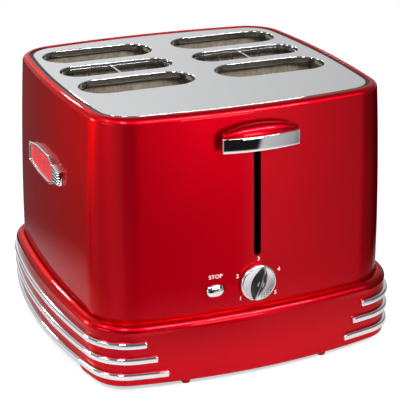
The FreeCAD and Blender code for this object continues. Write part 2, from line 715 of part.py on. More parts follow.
def make_plate_gasket():
    """Dark ring that carries the plate on the shell's ledge and fills the gap round it."""
    lip_top = PLATE_TOP_Z - GASKET_BELOW_PLATE
    ring = plan_prism(BODY, -RECESS_INSET, LEDGE_Z, lip_top)
    ring = ring.cut(plan_prism(BODY, -PLATE_INSET, PLATE_LOW_Z, lip_top + PAST))
    return ring.cut(plan_prism(BODY, -RECESS_INSET - LEDGE_WIDTH, LEDGE_Z - PAST, lip_top + PAST))


# ---------------------------------------------------------------- badge and gland

def badge_outline(inset, x):
    """Elongated hexagon on the left side, as a face at x."""
    rear = BADGE_REAR_Y - inset
    front = BADGE_FRONT_Y + inset
    tall = BADGE_HALF_HEIGHT - inset
    short = BADGE_END_HALF_HEIGHT - inset / 2
    shoulder = rear - BADGE_SHOULDER
    front_shoulder = front + BADGE_SHOULDER / 2
    corners = [(rear, -short), (shoulder, -tall), (front_shoulder, -tall), (front, -short),
               (front, short), (front_shoulder, tall), (shoulder, tall), (rear, short)]
    return polygon([V(x, y, BADGE_Z + z) for y, z in corners])


def against_left_wall(shape):
    """Trim a badge piece so that its back lies on the bowed side of the shell."""
    return shape.cut(body_block(0))


def badge_front_x():
    """X of the badge's face."""
    return BODY.side_x(0, -taper_at(BADGE_Z)) - BADGE_THICK


def make_badge_frame():
    """Chrome hexagonal frame with a shallow tray for the insert."""
    x = badge_front_x()
    frame = badge_outline(0, x).extrude(V(2 * BADGE_THICK, 0, 0))
    front_edges = [e for e in frame.Edges if e.BoundBox.XMax < x + TOUCH]
    frame = frame.makeChamfer(BADGE_CHAMFER, front_edges)
    pocket = badge_outline(BADGE_RIM, x - PAST).extrude(V(PAST + BADGE_INSERT_DEPTH * 2, 0, 0))
    return against_left_wall(frame.cut(pocket))


def make_badge_insert():
    """Plain coloured insert, sunk below the frame's rim."""
    x = badge_front_x()
    insert = badge_outline(BADGE_RIM, x + BADGE_INSERT_DEPTH)
    return insert.extrude(V(BADGE_INSERT_DEPTH, 0, 0))


def make_badge_end():
    """Fluted chrome block at the front end of the badge."""
    x = badge_front_x()
    rear = BADGE_FRONT_Y
    tip = rear - BADGE_END_LENGTH
    corners = [(rear, -BADGE_END_HALF_HEIGHT), (tip, -BADGE_END_TIP_HALF_HEIGHT),
               (tip, BADGE_END_TIP_HALF_HEIGHT), (rear, BADGE_END_HALF_HEIGHT)]
    block = polygon([V(x, y, BADGE_Z + z) for y, z in corners]).extrude(V(3 * BADGE_THICK, 0, 0))
    pitch = 2 * BADGE_END_HALF_HEIGHT / BADGE_GROOVES
    for i in range(BADGE_GROOVES - 1):
        z = BADGE_Z - BADGE_END_HALF_HEIGHT + pitch * (i + 1)
        block = block.cut(rod_y(x, z, tip - PAST, rear + PAST, BADGE_GROOVE_R))
    return against_left_wall(block)


def make_cord_gland():
    """Flanged grommet for the supply cord, with a hexagonal neck that can't turn in the rear wall."""
    wall_y = -BODY.front_y(GLAND_X, -taper_at(GLAND_Z))
    inner_y = wall_y - SHELL_WALL - GLAND_INNER_LENGTH
    outer_y = wall_y + GLAND_FLANGE
    neck = hex_rod_y(GLAND_X, GLAND_Z, inner_y, outer_y, GLAND_NECK_ACROSS)
    flange = rod_y(GLAND_X, GLAND_Z, inner_y, outer_y, GLAND_FLANGE_R)
    flange = flange.cut(body_block(0))
    gland = neck.fuse(flange)
    return gland.cut(rod_y(GLAND_X, GLAND_Z, inner_y - PAST, outer_y + PAST, GLAND_BORE_R))


# ---------------------------------------------------------------- toasting chamber

def make_floor_frame():
    """Sheet frame under the shafts, with side legs and a tongue under the front guide rod."""
    edge = END_PLATE_X + SHEET
    frame = box(-edge, edge, FRONT_SHIELD_Y, REAR_SHIELD_Y, FLOOR_Z, FLOOR_TOP_Z)
    frame = frame.fuse(box(-TONGUE_HALF_X, TONGUE_HALF_X, FRONT_ROD_Y - ROD_END_MARGIN, FRONT_SHIELD_Y,
                           FLOOR_Z, FLOOR_TOP_Z))
    for side in (-1, 1):
        x0 = min(side * edge, side * END_PLATE_X)
        frame = frame.fuse(box(x0, x0 + SHEET, FRONT_SHIELD_Y, REAR_SHIELD_Y, COVER_TOP_Z, FLOOR_Z))
    for name, y, width in ROWS:
        for side_name, side in SIDES:
            x0, x1 = (SLOT_INNER_X, SLOT_OUTER_X) if side > 0 else (-SLOT_OUTER_X, -SLOT_INNER_X)
            frame = frame.cut(box(x0, x1, y - width / 2, y + width / 2, FLOOR_Z - PAST, FLOOR_TOP_Z + PAST))
    return frame.removeSplitter()


def chamber_front():
    """Y of the front shield's inner face."""
    return FRONT_SHIELD_Y + SHEET


def chamber_rear():
    """Y of the rear shield's inner face."""
    return REAR_SHIELD_Y - SHEET


def make_end_plate(side):
    """Outer wall of the shafts on one side."""
    x0 = min(side * END_PLATE_X, side * (END_PLATE_X + SHEET))
    return box(x0, x0 + SHEET, chamber_front(), chamber_rear(), FLOOR_TOP_Z, BRIDGE_LOW_Z)


def make_centre_wall(side):
    """Inner wall of the shafts, with a window in each row for the lifter to travel in."""
    x0 = min(side * CENTRE_WALL_X, side * (CENTRE_WALL_X + SHEET))
    wall = box(x0, x0 + SHEET, chamber_front(), chamber_rear(), FLOOR_TOP_Z, BRIDGE_LOW_Z)
    half = LIFTER_NECK / 2 + WINDOW_CLEARANCE
    low = SPINE_TOP_Z - LIFT_TRAVEL - WINDOW_CLEARANCE
    high = LIFTER_TOP_Z + WINDOW_CLEARANCE
    for name, y, width in ROWS:
        wall = wall.cut(box(x0 - PAST, x0 + SHEET + PAST, y - half, y + half, low, high))
    return wall


def make_heat_shield(y0):
    """Cross wall that closes the shafts at the front or the rear."""
    edge = END_PLATE_X + SHEET
    return box(-edge, edge, y0, y0 + SHEET, FLOOR_TOP_Z, BRIDGE_LOW_Z)


def make_front_shield():
    """Front cross wall with a slit that the carriage spine travels in."""
    shield = make_heat_shield(FRONT_SHIELD_Y)
    half = SPINE_THICK / 2 + WINDOW_CLEARANCE
    high = SPINE_TOP_Z + WINDOW_CLEARANCE
    return shield.cut(box(-half, half, FRONT_SHIELD_Y - PAST, chamber_front() + PAST, FLOOR_TOP_Z, high))


def board_places():
    """Centre Y of the four heater board planes, between and outside the rows."""
    front_bun = FRONT_ROW_Y - BUN_SLOT_WIDTH / 2
    rear_bun = REAR_ROW_Y + BUN_SLOT_WIDTH / 2
    front_gap = (FRONT_ROW_Y + BUN_SLOT_WIDTH / 2 + MIDDLE_ROW_Y - DOG_SLOT_WIDTH / 2) / 2
    rear_gap = (MIDDLE_ROW_Y + DOG_SLOT_WIDTH / 2 + REAR_ROW_Y - BUN_SLOT_WIDTH / 2) / 2
    return (("front", front_bun - BOARD_GAP), ("front_middle", front_gap),
            ("rear_middle", rear_gap), ("rear", rear_bun + BOARD_GAP))


def make_heater_boards(y):
    """Left and right mica boards of one plane, tabbed between the chamber walls."""
    x0 = CENTRE_WALL_X + SHEET
    board = box(x0, END_PLATE_X, y - BOARD_THICK / 2, y + BOARD_THICK / 2,
                FLOOR_TOP_Z, BRIDGE_LOW_Z - BOARD_TOP_GAP)
    return Part.makeCompound([board, mirrored_x(board)])


def make_heating_ribbons(y):
    """Flat heating ribbons wound round the left and right boards of one plane."""
    inner = BOARD_THICK / 2
    outer = inner + RIBBON_THICK
    x0 = CENTRE_WALL_X + SHEET + RIBBON_END_GAP
    x1 = END_PLATE_X - RIBBON_END_GAP
    lowest = FLOOR_TOP_Z + RIBBON_LOW_GAP
    highest = BRIDGE_LOW_Z - BOARD_TOP_GAP - RIBBON_TOP_GAP - RIBBON_HEIGHT
    pitch = (highest - lowest) / (RIBBON_COUNT - 1)
    turns = []
    for i in range(RIBBON_COUNT):
        z = lowest + pitch * i
        for y0, y1 in ((y - outer, y - inner), (y + inner, y + outer)):
            turn = box(x0, x1, y0, y1, z, z + RIBBON_HEIGHT)
            turns += [turn, mirrored_x(turn)]
    return Part.makeCompound(turns)


def make_guard_wires(y):
    """Upright wires and rails on both faces of the left and right bun shafts of a row."""
    x0 = CENTRE_WALL_X + SHEET
    reach = BUN_SLOT_WIDTH / 2 - GUARD_INSET
    pitch = (END_PLATE_X - x0) / (GUARD_COUNT + 1)
    low = FLOOR_TOP_Z + GUARD_LOW_GAP
    high = BRIDGE_LOW_Z - GUARD_TOP_GAP
    guards = []
    for wire_y in (y - reach, y + reach):
        guard = rod_x(wire_y, low, x0, END_PLATE_X, GUARD_WIRE_R)
        guard = guard.fuse(rod_x(wire_y, high, x0, END_PLATE_X, GUARD_WIRE_R))
        for i in range(GUARD_COUNT):
            x = x0 + pitch * (i + 1)
            guard = guard.fuse(rod_z(x, wire_y, low, high, GUARD_WIRE_R))
        guards += [guard, mirrored_x(guard)]
    return Part.makeCompound(guards)


def make_top_bridge():
    """Bar over the centre walls that carries the plate and the rods' upper ends."""
    half = CENTRE_WALL_X + SHEET
    return box(-half, half, FRONT_ROD_Y - ROD_END_MARGIN, REAR_SHIELD_Y, BRIDGE_LOW_Z, PLATE_LOW_Z)


def make_guide_rod(y):
    """Round rod from the floor frame to the bridge."""
    return rod_z(0, y, FLOOR_TOP_Z, BRIDGE_LOW_Z, ROD_R)


# ---------------------------------------------------------------- lift carriage

def make_carriage_spine():
    """Bar along the centre line with a bored boss round each guide rod."""
    half = SPINE_THICK / 2
    spine = box(-half, half, BRACKET_FRONT_Y + BRACKET_DEPTH, REAR_ROD_Y, SPINE_LOW_Z, SPINE_TOP_Z)
    boss_top = SPINE_LOW_Z + BOSS_HEIGHT
    for y in (FRONT_ROD_Y, REAR_ROD_Y):
        spine = spine.fuse(rod_z(0, y, SPINE_LOW_Z, boss_top, BOSS_R))
    for y in (FRONT_ROD_Y, REAR_ROD_Y):
        spine = spine.cut(rod_z(0, y, SPINE_LOW_Z - PAST, boss_top + PAST, ROD_R + ROD_CLEARANCE))
    return spine


def make_lever_arm():
    """Upright bracket and the tongue that comes out through the front slot."""
    half = SPINE_THICK / 2
    bracket = box(-half, half, BRACKET_FRONT_Y, BRACKET_FRONT_Y + BRACKET_DEPTH, SPINE_LOW_Z, TONGUE_HIGH_Z)
    tongue = box(-half, half, HANDLE_BACK_Y - TONGUE_GRIP, BRACKET_FRONT_Y, TONGUE_LOW_Z, TONGUE_HIGH_Z)
    return bracket.fuse(tongue).removeSplitter()


def finger_bar(y, width):
    """Right half of a lifter: neck through the window, wide bar with cross fingers."""
    half_neck = LIFTER_NECK / 2
    half_bar = LIFTER_WIDTH / 2
    reach = width / 2 - FINGER_SIDE_GAP
    start = CENTRE_WALL_X + SHEET + LIFTER_NECK_MARGIN
    bar = box(0, start, y - half_neck, y + half_neck, SPINE_TOP_Z, LIFTER_TOP_Z)
    bar = bar.fuse(box(start, LIFTER_OUTER_X, y - half_bar, y + half_bar, SPINE_TOP_Z, LIFTER_TOP_Z))
    pitch = (LIFTER_OUTER_X - start - LIFTER_FINGER) / (LIFTER_FINGER_COUNT - 1)
    for i in range(LIFTER_FINGER_COUNT):
        x = start + pitch * i
        bar = bar.fuse(box(x, x + LIFTER_FINGER, y - reach, y + reach, SPINE_TOP_Z, LIFTER_TOP_Z))
    for edge_y in (y - half_bar, y + half_bar - LIFTER_THICK):
        bar = bar.fuse(box(start, LIFTER_OUTER_X, edge_y, edge_y + LIFTER_THICK,
                           SPINE_TOP_Z - LIFTER_LIP, SPINE_TOP_Z))
    return bar


def make_lifter(y, width):
    """Cross piece on the spine that lifts what stands in the left and right shafts."""
    half = finger_bar(y, width)
    return half.fuse(mirrored_x(half)).removeSplitter()


def make_latch_keeper():
    """Steel plate under the bracket that the magnet holds."""
    return box(-KEEPER_HALF_X, KEEPER_HALF_X, BRACKET_FRONT_Y, BRACKET_FRONT_Y + BRACKET_DEPTH,
               SPINE_LOW_Z - KEEPER_HEIGHT, SPINE_LOW_Z)


def make_latch_magnet():
    """Holding magnet on the bottom cover: yoke, coil and pole."""
    y = BRACKET_FRONT_Y + BRACKET_DEPTH / 2 + MAGNET_SETBACK
    top = SPINE_LOW_Z - KEEPER_HEIGHT - LIFT_TRAVEL - MAGNET_GAP
    yoke_top = COVER_TOP_Z + MAGNET_YOKE
    yoke = box(-MAGNET_HALF_X, MAGNET_HALF_X, y - MAGNET_HALF_Y, y + MAGNET_HALF_Y, COVER_TOP_Z, yoke_top)
    coil = rod_z(0, y, yoke_top, top - MAGNET_POLE, MAGNET_COIL_R)
    pole = rod_z(0, y, top - MAGNET_POLE, top, MAGNET_POLE_R)
    return yoke.fuse(coil).fuse(pole)


def handle_plan(grow, z):
    """D-shaped outline of the handle: straight back, bowed front."""
    half = HANDLE_HALF_X + grow
    end_y = HANDLE_END_Y - grow
    left_back = V(-half, HANDLE_BACK_Y, z)
    left_front = V(-half, end_y, z)
    right_front = V(half, end_y, z)
    right_back = V(half, HANDLE_BACK_Y, z)
    front = Part.Arc(left_front, V(0, end_y - HANDLE_BOW, z), right_front).toShape()
    return Part.Face(Part.Wire([Part.makeLine(left_back, left_front), front,
                                Part.makeLine(right_front, right_back),
                                Part.makeLine(right_back, left_back)]))


def crest_profile():
    """Arched outline of the handle seen from the front, as a face in front of it."""
    far = HANDLE_HALF_X + PAST
    end_z = HANDLE_CREST_Z - HANDLE_CREST_DROP
    y = HANDLE_FRONT_Y - PAST
    arch = Part.Arc(V(-far, y, end_z), V(0, y, HANDLE_CREST_Z), V(far, y, end_z)).toShape()
    low_left = V(-far, y, HANDLE_BOTTOM_Z)
    low_right = V(far, y, HANDLE_BOTTOM_Z)
    return Part.Face(Part.Wire([arch, Part.makeLine(V(far, y, end_z), low_right),
                                Part.makeLine(low_right, low_left),
                                Part.makeLine(low_left, V(-far, y, end_z))]))


def brow_profile():
    """Outline of the handle seen from the side: the top rounds down to the band."""
    x = -2 * HANDLE_HALF_X
    front = HANDLE_FRONT_Y
    back = HANDLE_BACK_Y + PAST
    band_top = HANDLE_BOTTOM_Z + BAND_HEIGHT
    mid_y = front + (back - front) * HANDLE_BROW_RUN
    mid_z = band_top + (HANDLE_CREST_Z - band_top) * HANDLE_BROW_RISE
    top_back = V(x, back, HANDLE_CREST_Z)
    slope = Part.Arc(V(x, front, band_top), V(x, mid_y, mid_z), top_back).toShape()
    low_front = V(x, front, HANDLE_BOTTOM_Z)
    low_back = V(x, back, HANDLE_BOTTOM_Z)
    return Part.Face(Part.Wire([slope, Part.makeLine(top_back, low_back), Part.makeLine(low_back, low_front),
                                Part.makeLine(low_front, V(x, front, band_top))]))


def make_lever_handle():
    """Red handle: D plan, arched crest, top face rounding down to the band."""
    body = handle_plan(0, HANDLE_BOTTOM_Z).extrude(V(0, 0, HANDLE_HEIGHT))
    body = body.common(crest_profile().extrude(V(0, HANDLE_BACK_Y - HANDLE_FRONT_Y + 2 * PAST, 0)))
    body = body.common(brow_profile().extrude(V(4 * HANDLE_HALF_X, 0, 0)))
    half = SPINE_THICK / 2
    pocket = box(-half, half, HANDLE_BACK_Y - TONGUE_GRIP, HANDLE_BACK_Y + PAST, TONGUE_LOW_Z, TONGUE_HIGH_Z)
    return body.cut(pocket)


def make_lever_band():
    """Bright band round the front of the handle."""
    band = handle_plan(BAND_THICK, HANDLE_BOTTOM_Z).extrude(V(0, 0, BAND_HEIGHT))
    inner = handle_plan(0, HANDLE_BOTTOM_Z - PAST).extrude(V(0, 0, BAND_HEIGHT + 2 * PAST))
    band = band.cut(inner)
    far = 2 * HANDLE_HALF_X
    behind = box(-far, far, HANDLE_BACK_Y - BAND_BACK_GAP, 0, HANDLE_BOTTOM_Z - PAST, HANDLE_CREST_Z)
    return band.cut(behind)


def half_turn(side, z, rise):
    """Half ring of spring wire from (side * R, z) to the other side, rise higher."""
    start = V(side * SPRING_R, 0, z)
    end = V(-side * SPRING_R, 0, z + rise)
    section = Part.Face(Part.Wire(Part.makeCircle(SPRING_WIRE_R, start, V(0, 1, 0))))
    slope = end - start
    axis = slope.cross(V(0, side, 0)).normalize()
    return section.revolve((start + end) / 2, axis, 180.0)


def spring_leg(coil_x, coil_z, seat_z):
    """Straight end of the spring: inwards from the coil, then along the axis to its seat."""
    low, high = sorted((coil_z, seat_z))
    across = rod_x(0, coil_z, min(coil_x, 0), max(coil_x, 0), SPRING_WIRE_R)
    elbow = Part.makeSphere(SPRING_WIRE_R, V(coil_x, 0, coil_z))
    bend = Part.makeSphere(SPRING_WIRE_R, V(0, 0, coil_z))
    return across.fuse([elbow, bend, rod_z(0, 0, low, high, SPRING_WIRE_R)])


def make_carriage_spring():
    """Extension spring from the bridge down to the carriage, wound as tilted half rings."""
    low = SPINE_TOP_Z + SPRING_LEG
    high = BRIDGE_LOW_Z - SPRING_LEG
    rise = (high - low) / (2 * SPRING_TURNS)
    turns = [half_turn(1 if i % 2 == 0 else -1, low + rise * i, rise) for i in range(2 * SPRING_TURNS)]
    legs = [spring_leg(SPRING_R, low, SPINE_TOP_Z), spring_leg(SPRING_R, high, BRIDGE_LOW_Z)]
    coil = turns[0].fuse(turns[1:] + legs)
    coil.translate(V(0, SPRING_Y, 0))
    return coil


# ---------------------------------------------------------------- controls

def knob_back_y():
    """Y of the knob's rear face, a small gap in front of the body."""
    return body_front_y(0, KNOB_Z) - KNOB_GAP


def lens_wire(length, width, y):
    """Upright pointed oval of two arcs round the knob's centre, at y."""
    tip_high = V(0, y, KNOB_Z + length / 2)
    tip_low = V(0, y, KNOB_Z - length / 2)
    left = Part.Arc(tip_low, V(-width / 2, y, KNOB_Z), tip_high).toShape()
    right = Part.Arc(tip_high, V(width / 2, y, KNOB_Z), tip_low).toShape()
    return Part.Wire([left, right])


def make_timer_knob():
    """Chrome knob: round base and a leaf-shaped grip whose two flanks meet in a narrow ridge."""
    back = knob_back_y()
    face = back - KNOB_BASE
    base = rod_y(0, KNOB_Z, face, back, KNOB_R)
    base = base.makeFillet(KNOB_EDGE_ROUND, edges_at_y(base, face))
    foot = lens_wire(KNOB_GRIP_LENGTH, KNOB_GRIP_WIDTH, face + PAST)
    ridge = lens_wire(KNOB_RIDGE_LENGTH, KNOB_RIDGE_WIDTH, face - KNOB_GRIP_HEIGHT)
    grip = Part.makeLoft([foot, ridge], True, True)
    grip.rotate(V(0, 0, KNOB_Z), V(0, 1, 0), KNOB_START_ANGLE)
    knob = base.fuse(grip)
    return knob.cut(rod_y(0, KNOB_Z, back - SHAFT_IN_KNOB, back + PAST, SHAFT_R))


def shaft_back_y():
    """Rear end of the timer shaft, inside the potentiometer's bore."""
    return BOARD_FRONT_Y - POT_DEPTH + POT_BORE_IN_BODY


def make_timer_shaft():
    """Shaft from the potentiometer into the knob."""
    return rod_y(0, KNOB_Z, knob_back_y() - SHAFT_IN_KNOB, shaft_back_y(), SHAFT_R)


def make_potentiometer():
    """Square timer potentiometer on the control board, with its bored bush."""
    half = POT_SIZE / 2
    front = BOARD_FRONT_Y - POT_DEPTH
    pot = box(-half, half, front, BOARD_FRONT_Y, KNOB_Z - half, KNOB_Z + half)
    pot = pot.fuse(rod_y(0, KNOB_Z, front - POT_BUSH_LENGTH, front, POT_BUSH_R))
    bore_front = front - POT_BUSH_LENGTH - PAST
    return pot.cut(rod_y(0, KNOB_Z, bore_front, shaft_back_y(), SHAFT_R + SHAFT_CLEARANCE))


def stop_wall_y():
    """Y of the inside of the front wall behind the stop button."""
    return body_front_y(STOP_X, STOP_Z) + SHELL_WALL


def stem_back_y():
    """Rear end of the stop button's stem."""
    return stop_wall_y() + STOP_STEM_LENGTH


def make_stop_button():
    """Domed oval button with a retaining flange and a stem."""
    outside = stop_wall_y() - SHELL_WALL - STOP_PROUD
    flange_front = stop_wall_y() + STOP_FLANGE_GAP
    cap = stop_hole(0, outside, flange_front)
    cap = cap.makeFillet(STOP_DOME, edges_at_y(cap, outside))
    flange = stop_hole(STOP_FLANGE, flange_front, flange_front + STOP_FLANGE_THICK)
    return cap.fuse(flange).fuse(rod_y(STOP_X, STOP_Z, flange_front, stem_back_y(), STOP_STEM_R))


def make_stop_switch():
    """Switch on the control board with a tube that guides the button's stem."""
    guide_front = stem_back_y() - STOP_STEM_GUIDED
    housing = rod_y(STOP_X, STOP_Z, guide_front, BOARD_FRONT_Y, STOP_GUIDE_R)
    floor_y = stem_back_y() + STOP_TRAVEL + STOP_SWITCH_GAP
    return housing.cut(rod_y(STOP_X, STOP_Z, guide_front - PAST, floor_y, STOP_STEM_R + SHAFT_CLEARANCE))


def make_control_board():
    """Upright circuit board on the bottom cover with its largest parts."""
    back = BOARD_FRONT_Y + CONTROL_BOARD_THICK
    board = box(CONTROL_BOARD_LEFT_X, CONTROL_BOARD_RIGHT_X, BOARD_FRONT_Y, back,
                COVER_TOP_Z, KNOB_Z + CONTROL_BOARD_ABOVE_KNOB)
    capacitor_x = CONTROL_BOARD_RIGHT_X - CAPACITOR_R - CAPACITOR_EDGE
    capacitor_y = BOARD_FRONT_Y - CAPACITOR_LENGTH
    board = board.fuse(rod_y(capacitor_x, KNOB_Z, capacitor_y, BOARD_FRONT_Y, CAPACITOR_R))
    half = RELAY_SIZE / 2
    relay_z = COVER_TOP_Z + RELAY_SIZE
    return board.fuse(box(-half, half, BOARD_FRONT_Y - half, BOARD_FRONT_Y, relay_z, relay_z + RELAY_SIZE))


# ---------------------------------------------------------------- crumb tray and cages

def make_crumb_tray():
    """Shallow sheet pan whose back follows the inside of the tray door."""
    far = SKIRT_HALF_Y + PAST
    outer = box(-TRAY_HALF_X, TRAY_HALF_X, TRAY_FRONT_Y, far, TRAY_LOW_Z, TRAY_TOP_Z)
    outer = outer.common(skirt_room(SKIRT_WALL))
    half = TRAY_HALF_X - TRAY_SHEET
    inner = box(-half, half, TRAY_FRONT_Y + TRAY_SHEET, far, TRAY_LOW_Z + TRAY_SHEET, TRAY_TOP_Z + PAST)
    return outer.cut(inner.common(skirt_room(SKIRT_WALL + TRAY_SHEET)))


def make_tray_door():
    """Piece of the skirt's wall on the tray, with a finger notch below."""
    wall = plan_loft(FOOTLINE, 0, SKIRT_BOTTOM_Z, SHOULDER, 0, SKIRT_TOP_Z).cut(skirt_room(SKIRT_WALL))
    door = wall.common(tray_door_block(TRAY_DOOR_GAP))
    notch_z = TRAY_DOOR_LOW_Z + TRAY_NOTCH_DEPTH - TRAY_NOTCH_R
    return door.cut(rod_y(0, notch_z, 0, SKIRT_HALF_Y + PAST, TRAY_NOTCH_R))


def cage_band(low, high):
    """Round-ended hoop of a cage between two heights."""
    outer = slot_block(1, MIDDLE_ROW_Y, DOG_SLOT_WIDTH, low, high, -CAGE_CLEARANCE)
    inner = slot_block(1, MIDDLE_ROW_Y, DOG_SLOT_WIDTH, low - PAST, high + PAST, -CAGE_CLEARANCE - CAGE_BAND)
    return outer.cut(inner)


def cage_bar(x, reach, z):
    """Bar across a cage from its front to its rear wires."""
    half = CAGE_BAR / 2
    return box(x - half, x + half, MIDDLE_ROW_Y - reach, MIDDLE_ROW_Y + reach, z, z + CAGE_BAR)


def make_right_cage():
    """Wire cage for two hot dogs: three hoops, upright wires, floor bars and a divider."""
    low = LIFTER_TOP_Z
    high = RIM_Z - CAGE_TOP_BELOW_RIM
    middle = (low + high) / 2
    cage = cage_band(low, low + CAGE_BAND_HEIGHT)
    cage = cage.fuse(cage_band(middle, middle + CAGE_BAND_HEIGHT))
    cage = cage.fuse(cage_band(high - CAGE_BAND_HEIGHT, high))
    reach = DOG_SLOT_WIDTH / 2 - CAGE_CLEARANCE - CAGE_BAND / 2
    x_left = SLOT_INNER_X + DOG_SLOT_WIDTH / 2
    x_right = SLOT_OUTER_X - DOG_SLOT_WIDTH / 2
    pitch = (x_right - x_left) / (CAGE_SIDE_WIRES - 1)
    for i in range(CAGE_SIDE_WIRES):
        for y in (MIDDLE_ROW_Y - reach, MIDDLE_ROW_Y + reach):
            cage = cage.fuse(rod_z(x_left + pitch * i, y, low, high, CAGE_WIRE_R))
    for x in (x_left - reach, x_right + reach):
        cage = cage.fuse(rod_z(x, MIDDLE_ROW_Y, low, high, CAGE_WIRE_R))
    for x in (x_left, x_left + pitch, x_right - pitch, x_right):
        cage = cage.fuse(cage_bar(x, reach, low))
    for z in (low, middle, high - CAGE_BAR):
        cage = cage.fuse(cage_bar((x_left + x_right) / 2, reach, z))
    return cage.removeSplitter()


# ---------------------------------------------------------------- all pieces

def main():
    os.makedirs("parts", exist_ok=True)
    levels = ("lower", "middle", "upper")
    strips = [make_strip(level) for level in range(len(levels))]
    for name, strip in zip(levels, strips):
        save("chrome_strip_right_" + name, strip)
        save("chrome_strip_left_" + name, mirrored_x(strip))
    save("base_skirt", make_base_skirt(strips + [mirrored_x(strip) for strip in strips]))
    save("body_shell", make_body_shell())
    save("bottom_cover", make_bottom_cover())
    save("feet", make_feet())
    save("bottom_screws", make_bottom_screws())
    save("top_plate", make_top_plate())
    save("plate_gasket", make_plate_gasket())
    save("badge_frame", make_badge_frame())
    save("badge_insert", make_badge_insert())
    save("badge_fluted_end", make_badge_end())
    save("cord_gland", make_cord_gland())
    save("floor_frame", make_floor_frame())
    for name, side in SIDES:
        save("end_plate_" + name, make_end_plate(side))
        save("centre_wall_" + name, make_centre_wall(side))
    save("heat_shield_front", make_front_shield())
    save("heat_shield_rear", make_heat_shield(chamber_rear()))
    for name, y in board_places():
        save("heater_boards_" + name, make_heater_boards(y))
        save("heating_ribbons_" + name, make_heating_ribbons(y))
    save("guard_wires_front", make_guard_wires(FRONT_ROW_Y))
    save("guard_wires_rear", make_guard_wires(REAR_ROW_Y))
    save("top_bridge", make_top_bridge())
    save("guide_rod_front", make_guide_rod(FRONT_ROD_Y))
    save("guide_rod_rear", make_guide_rod(REAR_ROD_Y))
    save("carriage_spine", make_carriage_spine())
    save("lever_arm", make_lever_arm())
    save("lever_handle", make_lever_handle())
    save("lever_chrome_band", make_lever_band())
    for name, y, width in ROWS:
        save("lifter_" + name, make_lifter(y, width))
    save("latch_keeper", make_latch_keeper())
    save("latch_magnet", make_latch_magnet())
    save("carriage_spring", make_carriage_spring())
    save("timer_knob", make_timer_knob())
    save("timer_shaft", make_timer_shaft())
    save("timer_potentiometer", make_potentiometer())
    save("stop_button", make_stop_button())
    save("stop_switch", make_stop_switch())
    save("control_board", make_control_board())
    save("crumb_tray", make_crumb_tray())
    save("crumb_tray_door", make_tray_door())
    cage = make_right_cage()
    save("hot_dog_cage_right", cage)
    save("hot_dog_cage_left", mirrored_x(cage))


main()
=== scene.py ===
"""Looks of the pop-up hot dog toaster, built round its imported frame.

Shapes are worked out in millimetres with y = 0 in the middle of the body, as surfaces over
two parameters, and become meshes in metres in the shared frame.
"""
import json
import math
import bmesh
import bpy
import numpy as np
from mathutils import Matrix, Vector


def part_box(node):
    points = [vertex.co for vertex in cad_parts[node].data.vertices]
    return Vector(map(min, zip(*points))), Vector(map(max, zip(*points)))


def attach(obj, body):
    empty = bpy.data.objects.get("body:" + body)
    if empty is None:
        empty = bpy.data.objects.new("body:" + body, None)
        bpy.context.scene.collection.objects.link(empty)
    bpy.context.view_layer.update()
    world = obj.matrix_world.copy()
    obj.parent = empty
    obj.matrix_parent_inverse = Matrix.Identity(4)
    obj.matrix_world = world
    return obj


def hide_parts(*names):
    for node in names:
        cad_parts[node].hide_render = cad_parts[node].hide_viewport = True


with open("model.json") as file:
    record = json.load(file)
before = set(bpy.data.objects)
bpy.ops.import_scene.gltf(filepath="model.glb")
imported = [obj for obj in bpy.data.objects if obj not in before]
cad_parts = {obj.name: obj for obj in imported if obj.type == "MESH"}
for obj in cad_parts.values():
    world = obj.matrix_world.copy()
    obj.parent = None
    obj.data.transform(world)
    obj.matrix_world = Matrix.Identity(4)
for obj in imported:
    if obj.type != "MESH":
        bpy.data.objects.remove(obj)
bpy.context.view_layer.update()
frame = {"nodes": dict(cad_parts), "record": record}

MM = 0.001


def add_object(name, data):
    """New object in the scene, at the origin, unturned and unscaled."""
    item = bpy.data.objects.new(name, data)
    bpy.context.scene.collection.objects.link(item)
    return item


# ------------------------------------------------------------------ camera

CAMERA_LENS, SENSOR_WIDTH, CAMERA_REACH = 123.1, 36.0, 20.0
CAMERA_PLACE = (-0.45280, -1.07333, 0.55889)
CAMERA_LOOK = (0.36624, 0.85732, -0.36177)


def place_camera():
    """Camera in front, to the left and above, with no shift and no depth of field."""
    data = bpy.data.cameras.new("product_camera")
    data.lens = CAMERA_LENS
    data.sensor_width = SENSOR_WIDTH
    data.clip_end = CAMERA_REACH
    camera = add_object("product_camera", data)
    camera.location = CAMERA_PLACE
    camera.rotation_euler = Vector(CAMERA_LOOK).to_track_quat("-Z", "Y").to_euler()
    bpy.context.scene.camera = camera


# ------------------------------------------------------------------ shader building

